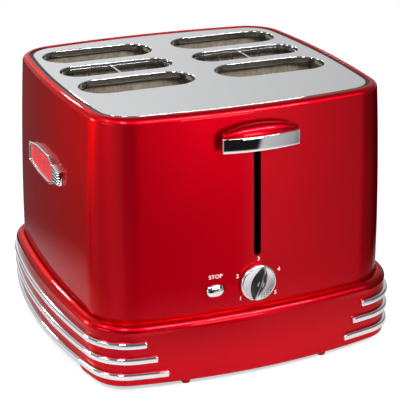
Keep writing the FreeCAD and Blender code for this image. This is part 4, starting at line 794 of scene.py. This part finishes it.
def build_plate():
    """Polished plate: a flat face with six round-ended openings, each edge rolled down in a 0.8 mm
    arc into a short lip, and the outer edge rounded over. A narrow flat ring beside each rounding
    keeps the face's shading flat. The rings are grids, and the faces between them are filled in."""
    base, normal = BODY.loop(64, 48, 24)
    rounding = arc((-PLATE_INSET - PLATE_ROUND, PLATE_TOP - PLATE_ROUND), PLATE_ROUND, 90, 0, 5)
    edge = np.vstack([(-PLATE_INSET - PLATE_ROUND - FLAT_RING, PLATE_TOP), rounding,
                      (-PLATE_INSET, PLATE_LOW)])
    grids = [lifted(base + edge[:, :1, None] * normal, edge[:, 1:])]
    roll = arc((-OPENING_ROLL, PLATE_TOP - OPENING_ROLL), OPENING_ROLL, 90, 0, 5)
    lip_low = PLATE_LOW - LIP_DEPTH
    lip = np.vstack([(OPENING_ROLL + FLAT_RING, PLATE_TOP), roll * (-1.0, 1.0), (0.0, lip_low),
                     (LIP_SHEET, lip_low), (LIP_SHEET, PLATE_LOW)])
    for side in (-1, 1):
        for y, width in OPENING_ROWS:
            outlines = [round_ended(OPENING_MIDDLE, y, OPENING_HALF + grow, width / 2 + grow, 25)
                        for grow in lip[:, 0]]
            grids.append(lifted(np.array(outlines) * (side, 1.0), lip[:, 1:]))
    plate = ringed("mirror_plate", grids, MIRROR)
    work = bmesh.new()
    work.from_mesh(plate.data)
    middle = (PLATE_TOP + PLATE_LOW) / 2 * MM
    open_edges = [edge for edge in work.edges if edge.is_boundary]
    for above in (True, False):
        rims = [edge for edge in open_edges if (edge.verts[0].co.z > middle) == above]
        bmesh.ops.triangle_fill(work, edges=rims, use_beauty=True)
    bmesh.ops.recalc_face_normals(work, faces=work.faces)
    work.to_mesh(plate.data)
    work.free()
    fit_out(soften(plate), "housing", "polished_steel", "top_plate")


# ------------------------------------------------------------------ lever

HANDLE_HALF, HANDLE_BOW, HANDLE_END_Y, HANDLE_BACK_Y, HANDLE_LOW = 33.5, 4.2, -138.8, -136.0, 200.5
HANDLE_CREST, CREST_FALL, CREST_POWER, HANDLE_ROUND, FOOT_BEVEL = 222.1, 6.0, 2.3, 1.8, 0.6
BROW_BELOW, BROW_POWER, FRONT_BELOW, LEAST_DEPTH = 0.3, 0.9, 0.7, 0.8
BAND_TOP, BAND_OVER, BAND_CORNER, BAND_EDGE, BAND_END_Y = 213.0, 0.8, 1.4, 0.45, -137.5
BAND_STAND, BAND_GROW, BAND_DEEP = 0.2, 1.0, 1.0
SWELL_PLACE, SWELL_SIDE, SWELL_MIDDLE = 4.0, 0.12, 0.16


def handle_front(x, grow=0.0):
    """Y of the handle's bowed front at x: an arc 4.2 mm deep over its width."""
    half = HANDLE_HALF + grow
    radius = bow_radius(half, HANDLE_BOW)
    deep = np.sqrt(radius ** 2 - np.square(np.clip(x, -half, half))) - (radius - HANDLE_BOW)
    return HANDLE_END_Y - grow - deep


def build_handle():
    """Red handle: at each x a section with a flat back and base, an upright front behind the band
    and a brow that curves up and back to the crest; the crest falls 6 mm to each end, and the
    section shrinks in a quarter circle over the last 1.8 mm."""
    ends = HANDLE_ROUND * (1 - np.cos(np.linspace(0, math.pi / 2, 7)))
    reach = HANDLE_HALF - HANDLE_ROUND - 0.4
    xs = np.concatenate([ends - HANDLE_HALF, np.linspace(-reach, reach, 49),
                         HANDLE_HALF - ends[::-1]])[:, None]
    cut = HANDLE_ROUND * (1 - quarter_rise(HANDLE_HALF - np.abs(xs), HANDLE_ROUND))
    front = np.minimum(handle_front(xs) + cut, HANDLE_BACK_Y - LEAST_DEPTH)
    crest = HANDLE_CREST - CREST_FALL * np.abs(xs / HANDLE_HALF) ** CREST_POWER - 0.7 * cut
    turn = np.linspace(0, 1, 21) * math.pi / 2
    brow_low = BAND_TOP - BROW_BELOW
    brow_y = front + (HANDLE_BACK_Y - front) * (1 - np.cos(turn))
    brow_z = brow_low + (crest - brow_low) * np.sin(turn) ** BROW_POWER
    same = np.ones_like(xs)
    y = np.hstack([HANDLE_BACK_Y * same, front + FOOT_BEVEL, front, front, brow_y])
    flat_z = (HANDLE_LOW, HANDLE_LOW, HANDLE_LOW + FOOT_BEVEL, BAND_TOP - FRONT_BELOW)
    z = np.hstack([same * flat_z, brow_z])
    grid = np.stack([np.broadcast_to(xs, y.shape), y, z], axis=-1)
    handle = surface("lever_grip", grid, RED_MOULDING, wrap_columns=True, caps=(0, len(grid) - 1),
                     crease=40.0)
    fit_out(handle, "carriage", "red_plastic", "lever_handle")


def build_band():
    """Bright band: a nearly flat section with rounded edges carried round the handle's ends and
    along its bowed front."""
    half = HANDLE_HALF + BAND_OVER
    turn_x = half - BAND_CORNER
    turn_y = float(handle_front(turn_x, BAND_GROW)) + BAND_CORNER * 0.97
    corner = arc((turn_x, turn_y), BAND_CORNER, -8, -74, 9)
    xs = np.linspace(corner[-1, 0] - 0.4, 0.0, 44)
    right = np.vstack([stations(half, np.linspace(BAND_END_Y, turn_y - 0.01, 3)), corner,
                       stations(xs, handle_front(xs, BAND_GROW))])
    path = np.concatenate([right, (right * (-1.0, 1.0))[-2::-1]])
    ahead = np.gradient(path, axis=0)
    ahead /= np.linalg.norm(ahead, axis=1)[:, None]
    out = np.stack([-ahead[:, 1], ahead[:, 0]], axis=-1)
    out *= -np.sign(out[len(out) // 2, 1])
    low, high = HANDLE_LOW + 0.1, BAND_TOP - 0.1
    edge_out = BAND_STAND - BAND_EDGE
    section = np.vstack([arc((edge_out, low + BAND_EDGE), BAND_EDGE, -90, 0, 5),
                         (BAND_STAND + SWELL_SIDE, low + SWELL_PLACE),
                         (BAND_STAND + SWELL_MIDDLE, (low + high) / 2),
                         (BAND_STAND + SWELL_SIDE, high - SWELL_PLACE),
                         arc((edge_out, high - BAND_EDGE), BAND_EDGE, 0, 90, 5),
                         (-BAND_DEEP, high), (-BAND_DEEP, low)])
    grid = lifted(path[:, None, :] + section[None, :, :1] * out[:, None, :], section[:, 1])
    band = surface("lever_band", grid, CHROME, wrap_columns=True, caps=(0, len(path) - 1),
                   crease=50.0)
    fit_out(band, "carriage", "chrome_trim", "lever_chrome_band")


# ------------------------------------------------------------------ knob, button, dial

KNOB_RADIUS, KNOB_THICK, KNOB_GAP, KNOB_ROUND, KNOB_REST = 16.2, 3.5, 1.0, 1.6, -161.0
GRIP_HALF_LENGTH, GRIP_HALF_WIDTH, GRIP_HEIGHT, GRIP_FALL = 15.3, 7.0, 4.6, 150.0
GRIP_SUNK, GRIP_FOOT, GRIP_FLANK = 0.55, 1.4, 0.86
KNOB_DISH = ((14.0, 0.05), (12.5, 0.35), (8.0, 0.6), (0.0, 0.7))
# Width of the painted highlight along the grip's ridge, in metres: full within 0.38 mm of its axis,
# none beyond 0.62 mm
RIDGE_HIGHLIGHT = (0.00062, 0.00038)


def build_knob():
    """Round base turned from a profile with a rounded rim and a shallow dish, and a lens-shaped
    grip whose two flanks meet in a ridge that falls towards both points."""
    back = float(wall_y(0.0, KNOB_Z)) - KNOB_GAP
    face = back - KNOB_THICK
    rounding = arc((KNOB_RADIUS - KNOB_ROUND, -face - KNOB_ROUND), KNOB_ROUND, 0, 90, 9)
    profile = np.vstack([(0.0, back), (KNOB_RADIUS - 0.3, back), (KNOB_RADIUS, back - 0.4),
                         rounding * (1.0, -1.0), np.array(KNOB_DISH) + (0.0, face)])
    base = turned("knob_disc", profile, 0.0, KNOB_Z, 96, SATIN, crease=60.0)

    radius = bow_radius(GRIP_HALF_LENGTH, GRIP_HALF_WIDTH)
    along = GRIP_HALF_LENGTH * np.sin(np.linspace(-math.pi / 2, math.pi / 2, 49))[:, None]
    width = np.sqrt(radius ** 2 - along ** 2) - (radius - GRIP_HALF_WIDTH)
    across = np.linspace(-1, 1, 25)
    lift = 1.0 - GRIP_FLANK * np.abs(across) - (1.0 - GRIP_FLANK) * np.abs(across) ** 3
    height = (GRIP_HEIGHT - along ** 2 / GRIP_FALL) * lift
    top = np.stack([across * width, face + GRIP_SUNK - height,
                    np.broadcast_to(along, height.shape)], axis=-1)
    grid = turned_about_y(backed(top, 1, face + GRIP_FOOT), KNOB_REST)
    grip = surface("knob_grip", grid, grip_painted_reflections(), wrap_columns=True, crease=30.0)
    fit_out(join("dial_knob", [base, grip]), "timer", "chrome_trim", "timer_knob")


def turned_about_y(points, degrees):
    """Points turned about the knob's axis; positive turns carry the top towards +x."""
    a = math.radians(degrees)
    x, y, z = np.moveaxis(points, -1, 0)
    return np.stack([x * math.cos(a) + z * math.sin(a), y,
                     KNOB_Z + z * math.cos(a) - x * math.sin(a)], axis=-1)


CAP_HALF_X, CAP_HALF_Z, CAP_STAND, CAP_DEEP = 8.2, 6.0, 3.2, 6.8
DOME_INSET, DOME_HEIGHT, DOME_FOOT, DOME_POWER = 5.9, 3.4, 3.6, 0.8


def build_stop_button():
    """Domed oval cap: rings of one round-ended outline shrink while they rise along a quarter
    superellipse."""
    outside = float(wall_y(STOP_X, STOP_Z)) - CAP_STAND
    turn = np.linspace(0, math.pi / 2, 15)
    dome = stations(-DOME_INSET * (1 - np.abs(np.cos(turn)) ** DOME_POWER),
                    outside + DOME_HEIGHT * (1 - np.sin(turn) ** DOME_POWER))
    rings = []
    for grow, y in np.vstack([(0.0, outside + CAP_DEEP), (0.0, outside + DOME_FOOT), dome]):
        x, z = round_ended(STOP_X, STOP_Z, CAP_HALF_X + grow, CAP_HALF_Z + grow, 25).T
        rings.append(stations(x, y, z))
    button = surface("stop_cap", np.array(rings), CHROME, wrap_columns=True,
                     caps=(0, len(rings) - 1), crease=50.0)
    fit_out(button, "stop", "chrome_trim", "stop_button")


PRINT_THICK, PRINT_BOLD, PRINT_OUT, PRINT_IN = 0.02, 0.012, 0.10, -0.05
DIAL_ANGLES = (-128.5, -67.5, 0.0, 67.5, 128.5)
DIAL_RADIUS, DIAL_SHIFT, DIGIT_HEIGHT = 20.6, 1.1, 3.5
WORD_SHIFT, WORD_ABOVE, WORD_HEIGHT, WORD_WIDTH = 0.6, 12.5, 3.4, 12.0


def lettering(name, text, x, z, height, width=None):
    """Thin print on the front wall: glyphs laid out flat, scaled, and wrapped on the bowed face."""
    curve = bpy.data.curves.new(name, "FONT")
    curve.body = text
    curve.align_x = "CENTER"
    curve.align_y = "CENTER"
    curve.extrude = PRINT_THICK
    curve.offset = PRINT_BOLD
    curve.resolution_u = 4
    glyphs = add_object(name + "_outline", curve)
    bpy.context.view_layer.update()
    graph = bpy.context.evaluated_depsgraph_get()
    mesh = bpy.data.meshes.new_from_object(glyphs.evaluated_get(graph))
    bpy.data.objects.remove(glyphs)
    flat = np.empty(len(mesh.vertices) * 3)
    mesh.vertices.foreach_get("co", flat)
    flat = flat.reshape(-1, 3)
    span = flat.max(axis=0) - flat.min(axis=0)
    middle = (flat.max(axis=0) + flat.min(axis=0)) / 2
    scale = height / span[1]
    wide = scale if width is None else width / span[0]
    px = x + (flat[:, 0] - middle[0]) * wide
    pz = z + (flat[:, 1] - middle[1]) * scale
    py = wall_y(px, pz) - np.where(flat[:, 2] > 0, PRINT_OUT, PRINT_IN)
    placed = (np.stack([px, py, pz], axis=-1) * MM).astype(np.float32)
    mesh.vertices.foreach_set("co", placed.ravel())
    mesh.materials.clear()
    mesh.materials.append(INK)
    mesh.name = name
    fit_out(weld(add_object(name, mesh)), "housing", "red_paint")


def build_dial():
    """Numbers 1 to 5 round the knob and the word over the button."""
    for number, degrees in zip("12345", DIAL_ANGLES):
        a = math.radians(degrees)
        lettering("dial_number_" + number, number, DIAL_SHIFT + DIAL_RADIUS * math.sin(a),
                  KNOB_Z + DIAL_RADIUS * math.cos(a), DIGIT_HEIGHT)
    lettering("stop_word", "STOP", STOP_X + WORD_SHIFT, STOP_Z + WORD_ABOVE, WORD_HEIGHT,
              WORD_WIDTH)


# ------------------------------------------------------------------ badge and gland

BADGE_Z, BADGE_REAR, BADGE_FRONT, BADGE_STAND = 161.0, 41.5, -27.0, 4.0
BADGE_TALL, BADGE_SHORT, REAR_SLOPE, FRONT_SLOPE = 13.0, 8.7, 24.0, 12.0
RAIL_ROUND, RAIL_DEEP, RAIL_WIDTH = 1.3, 6.0, 2.6
RAIL_INNER = ((1.5, 0.0), (2.0, 0.15), (2.5, 0.7), (RAIL_WIDTH, 1.6))
INSERT_SUNK, INSERT_SWELL, INSERT_BACK = 1.5, 0.6, 3.0
FLUTE_LENGTH, FLUTE_HALF, FLUTE_NARROWING, FLUTE_BACK = 13.8, 8.6, 2.7, 5.6
FLUTE_LOW, FLUTE_RISE, FLUTES, FLUTE_SPAN = 2.6, 1.3, 2.5, 14.0
FLUTE_PLACES = (0.0, 0.01, 0.03, 0.06, 0.12, 0.3, 0.5, 0.7, 0.82, 0.9, 0.95, 0.98, 1.0)


def rounded_polygon(corners, radius, count=5):
    """Outline of a convex polygon whose corners are cut by arcs of the given radius: each arc's
    centre lies radius / sin(half the corner's angle) along the corner's bisector."""
    back, ahead = (np.roll(corners, turn, axis=0) - corners for turn in (1, -1))
    back /= np.linalg.norm(back, axis=1)[:, None]
    ahead /= np.linalg.norm(ahead, axis=1)[:, None]
    half = np.arccos(np.clip((back * ahead).sum(axis=1), -1, 1))[:, None] / 2
    bisector = back + ahead
    centre = corners + bisector / np.linalg.norm(bisector, axis=1)[:, None] * radius / np.sin(half)
    first, last = (corners + way * radius / np.tan(half) - centre for way in (back, ahead))
    share = np.linspace(0, 1, count)[:, None]
    spoke = first[:, None] * (1 - share) + last[:, None] * share
    spoke *= radius / np.linalg.norm(spoke, axis=2, keepdims=True)
    return (centre[:, None] + spoke).reshape(-1, 2)


def badge_corners(inset):
    """The badge's eight corners in y and z, moved in by inset."""
    rear, front = BADGE_REAR - inset, BADGE_FRONT + inset
    tall, short = BADGE_TALL - inset, BADGE_SHORT - inset / 2
    return np.array([(rear, -short), (rear, short), (rear - REAR_SLOPE, tall),
                     (front + FRONT_SLOPE, tall), (front, short), (front, -short),
                     (front + FRONT_SLOPE, -tall), (rear - REAR_SLOPE, -tall)])


def on_badge(x, outline):
    """An outline about the badge's middle, stood on the left wall at x."""
    return stations(x, outline[:, 0], BADGE_Z + outline[:, 1])


def build_badge():
    """Frame: a rounded rail section carried round the eight-sided outline. Insert: a plate that
    swells 0.6 mm to its middle. End: fluted block of rounded ribs between two tapering edges."""
    x = float(BODY.side_x(0.0, -taper_at(BADGE_Z))) - BADGE_STAND
    rounding = RAIL_ROUND - arc((0.0, 0.0), RAIL_ROUND, 10, 80, 6)
    section = np.vstack([(0.0, RAIL_DEEP), (0.0, RAIL_ROUND), rounding, RAIL_INNER,
                         (RAIL_WIDTH, RAIL_DEEP)])
    rings = [on_badge(x + depth, rounded_polygon(badge_corners(inset), max(2.0 - inset * 0.4, 0.8)))
             for inset, depth in section]
    rail = surface("badge_rail", np.array(rings), CHROME, wrap_columns=True, crease=50.0)
    fit_out(rail, "housing", "chrome_trim", "badge_frame")

    outline = rounded_polygon(badge_corners(RAIL_WIDTH), 1.0)
    middle = np.array([(BADGE_REAR + BADGE_FRONT) / 2, 0.0])
    rings = [on_badge(x + INSERT_BACK, outline)]
    for left in np.linspace(1.0, 0.0, 12):
        swell = INSERT_SWELL * (1 - left ** 2)
        rings.append(on_badge(x + INSERT_SUNK - swell, middle + (outline - middle) * left))
    insert = surface("badge_plate", np.array(rings), ENAMEL, wrap_columns=True, caps=(0,),
                     crease=40.0)
    fit_out(insert, "housing", "badge_red", "badge_insert")

    y = (BADGE_FRONT - 0.1 - FLUTE_LENGTH * np.array(FLUTE_PLACES))[:, None]
    share = (BADGE_FRONT - y) / FLUTE_SPAN
    across = np.linspace(-1, 1, 97)
    rib = 1.0 - np.abs(np.mod(across * FLUTES + 0.5, 1.0) * 2 - 1) ** 4
    stand = (0.35 + 0.65 * quarter_rise(1.0 - share, 0.2)) * (FLUTE_LOW + FLUTE_RISE * rib)
    z = BADGE_Z + (FLUTE_HALF - FLUTE_NARROWING * share) * across
    top = np.stack([x + BADGE_STAND - stand, np.broadcast_to(y, stand.shape), z], axis=-1)
    fluted = surface("badge_flutes", backed(top, 0, x + FLUTE_BACK), CHROME, wrap_columns=True,
                     caps=(0, len(y) - 1), crease=40.0)
    fit_out(fluted, "housing", "chrome_trim", "badge_fluted_end")


BORE, BORE_STEP, FLANGE_RADIUS, NECK_RADIUS = 4.0, 4.4, 9.0, 6.4
NECK_DEEP, FLANGE_DEEP, FLANGE_STAND, FLANGE_FALL, RING_HEIGHT, RINGS = 6.2, 0.8, 2.4, 0.9, 0.12, 4


def build_gland():
    """Cord inlet: a domed flange with four rings, turned about the bore's axis."""
    wall = -float(BODY.front_y(GLAND_X, -taper_at(GLAND_Z)))
    share = np.linspace(0.1, 0.95, 24)
    dome = stations(BORE_STEP + 4.0 * share, wall + FLANGE_STAND - FLANGE_FALL * share ** 2
                    + RING_HEIGHT * np.sin(share * 2 * RINGS * math.pi))
    profile = np.vstack([(BORE, wall - NECK_DEEP), (BORE, wall + 2.0),
                         (BORE_STEP, wall + FLANGE_STAND), dome, (FLANGE_RADIUS - 0.1, wall + 1.0),
                         (FLANGE_RADIUS, wall + 0.3), (FLANGE_RADIUS, wall - FLANGE_DEEP),
                         (NECK_RADIUS, wall - FLANGE_DEEP), (NECK_RADIUS, wall - NECK_DEEP)])
    gland = turned("cord_inlet_bush", profile, GLAND_X, GLAND_Z, 48, BLACK_MOULDING, wrap_rows=True)
    fit_out(gland, "housing", "black_plastic", "cord_gland")


# ------------------------------------------------------------------ stage and light

FLOOR_RADIUS, FLOOR_Z, FLOOR_FADE = 900.0, -0.02, (0.20, 0.34)


def build_floor():
    """Pale floor disc that catches the shadow; the camera sees it lifted to white. Shiny surfaces
    see its inner part, which fades out into the studio round it."""
    material, s = start_finish("pale_floor")
    background, glossy = s.rays()
    x, y, _ = s.parts(s.node("TexCoord", output="Object"))
    far = ((x * x + y * y) ** 0.5).step(*FLOOR_FADE)
    lit = s.node("BsdfDiffuse", Color=(0.72, 0.72, 0.72))
    glow = s.node("Emission", Color=(1.0, 1.0, 1.0), Strength=0.55)
    white = s.node("AddShader", first=lit, second=glow)
    shown = s.node("MixShader", Fac=background, second=lit, third=white)
    clear = s.node("BsdfTransparent", Color=(1.0, 1.0, 1.0))
    s.finish("Material", s.node("MixShader", Fac=glossy * far, second=shown, third=clear))
    disc = circle(0.0, 0.0, FLOOR_RADIUS, 96)
    points = stations(disc[:, 0], disc[:, 1], FLOOR_Z)
    mesh_piece("studio_floor", points, [list(range(len(points)))], material)


# Brightness that shiny surfaces see at each bearing, in degrees from the front, positive to the
# right: on the table, and in the low, the middle and the high ring of the studio
TABLE_STUDIO = ((-180, 0.10), (-100, 0.12), (-75, 0.30), (-45, 0.95), (45, 1.00), (75, 0.40),
                (110, 0.10), (180, 0.10))
LOW_STUDIO = ((-180, 0.10), (-150, 0.11), (-138, 0.17), (-130, 0.06), (-118, 0.25), (-106, 0.35),
              (-94, 0.26), (-78, 0.30), (-62, 0.50), (-44, 0.46), (-34, 0.12), (-22, 0.08),
              (-12, 0.02), (0, 0.01), (22, 0.01), (24.5, 0.58), (40, 0.44), (48, 0.36), (60, 0.08),
              (80, 0.10), (104, 0.0), (150, 0.0), (180, 0.12))
MID_STUDIO = ((-180, 0.80), (-165, 0.60), (-150, 0.40), (-130, 0.30), (-110, 0.12), (110, 0.12),
              (125, 0.40), (150, 0.55), (165, 0.80), (180, 0.80))
HIGH_STUDIO = ((-180, 0.80), (-150, 0.55), (-120, 0.45), (-100, 0.20), (-60, 0.14), (80, 0.14),
               (110, 0.30), (150, 0.60), (165, 0.80), (180, 0.80))
CEILING = (0.22, 0.22, 0.22)

# Rise of the line of sight over which each ring of the studio gives way to the one above it
TABLE_TO_LOW, LOW_TO_MID, MID_TO_HIGH, HIGH_TO_CEILING = ((-0.50, -0.43), (-0.10, -0.03),
                                                          (0.3, 0.4), (0.82, 0.90))


def build_world():
    """White to the camera and soft grey to matt surfaces. Shiny surfaces see a studio: a pale table
    in front, a low and a middle ring that are dark there, a pale sweep behind, a grey ceiling."""
    world = bpy.data.worlds.new("studio")
    bpy.context.scene.world = world
    world.use_nodes = True
    s = Shading(world.node_tree)
    x, y, z = s.parts(s.node("TexCoord", output="Generated"))
    bearing = x.math("ARCTAN2", x, -y) / (2 * math.pi) + 0.5
    table, low, mid, high = (
        s.node("ValToRGB", Fac=bearing,
               settings={"stops": [((d + 180) / 360, (v,) * 3) for d, v in ring]})
        for ring in (TABLE_STUDIO, LOW_STUDIO, MID_STUDIO, HIGH_STUDIO))
    sky = s.blend(z.step(*LOW_TO_MID), low, mid)
    sky = s.blend(z.step(*MID_TO_HIGH), sky, high)
    sky = s.blend(z.step(*TABLE_TO_LOW), table, sky)
    sky = s.blend(z.step(*HIGH_TO_CEILING), sky, CEILING)
    background, glossy = s.rays()
    soft = s.node("Background", Color=(0.80, 0.80, 0.80), Strength=0.45)
    studio = s.node("Background", Color=sky, Strength=1.0)
    white = s.node("Background", Color=(1.0, 1.0, 1.0), Strength=1.0)
    other = s.node("MixShader", Fac=glossy, second=soft, third=studio)
    s.finish("World", s.node("MixShader", Fac=background, second=other, third=white))


LAMP_CENTRE = Vector((0.0, 0.0, 0.12))

# Name, bearing and lift in degrees, distance, width and height in metres, and power in watts
LAMPS = (("front_lamp", 15.0, 1.0, 1.7, 0.40, 0.35, 3.2),
         ("left_lamp", -118.0, 3.0, 1.7, 0.35, 0.6, 8.5),
         ("side_lamp", -74.0, 3.0, 1.7, 0.7, 0.35, 2.5),
         ("spot_lamp", -38.0, 38.0, 1.7, 0.32, 0.28, 10.0),
         ("shoulder_lamp", 20.0, 35.0, 1.7, 0.95, 0.22, 17.0),
         ("corner_lamp", -84.0, 41.0, 1.7, 0.22, 0.22, 6.0),
         ("rim_lamp", -168.0, 30.0, 1.9, 0.26, 0.12, 3.2))


def soft_lamp(name, bearing, lift, distance, wide, tall, power):
    """Rectangular soft lamp seen from the toaster at a bearing and a lift, turned to it."""
    data = bpy.data.lights.new(name, "AREA")
    data.shape = "RECTANGLE"
    data.size = wide
    data.size_y = tall
    data.energy = power
    lamp = add_object(name, data)
    b, e = math.radians(bearing), math.radians(lift)
    way = Vector((math.sin(b) * math.cos(e), -math.cos(b) * math.cos(e), math.sin(e)))
    lamp.location = way * distance + LAMP_CENTRE
    lamp.rotation_euler = (-way).to_track_quat("-Z", "Y").to_euler()
    lamp.visible_camera = False
    return lamp


def light_studio():
    """A wide lamp overhead that reflections leave out, three low lamps in front and on the left,
    and four smaller ones higher up for the highlights on the rim and the corners."""
    top = soft_lamp("top_lamp", 170.0, 75.0, 1.6, 1.7, 1.7, 6.5)
    top.visible_glossy = False
    for row in LAMPS:
        soft_lamp(*row)


# ------------------------------------------------------------------ everything

place_camera()
bpy.context.scene.view_settings.view_transform = "Standard"
dress_cad_nodes()
build_shell()
build_skirt()
for side in ("left", "right"):
    for level, word in enumerate(("lower", "middle", "upper")):
        build_strip(side, level, "chrome_strip_%s_%s" % (side, word))
build_feet()
build_plate()
build_handle()
build_band()
build_knob()
build_stop_button()
build_dial()
build_badge()
build_gland()
build_floor()
build_world()
light_studio()
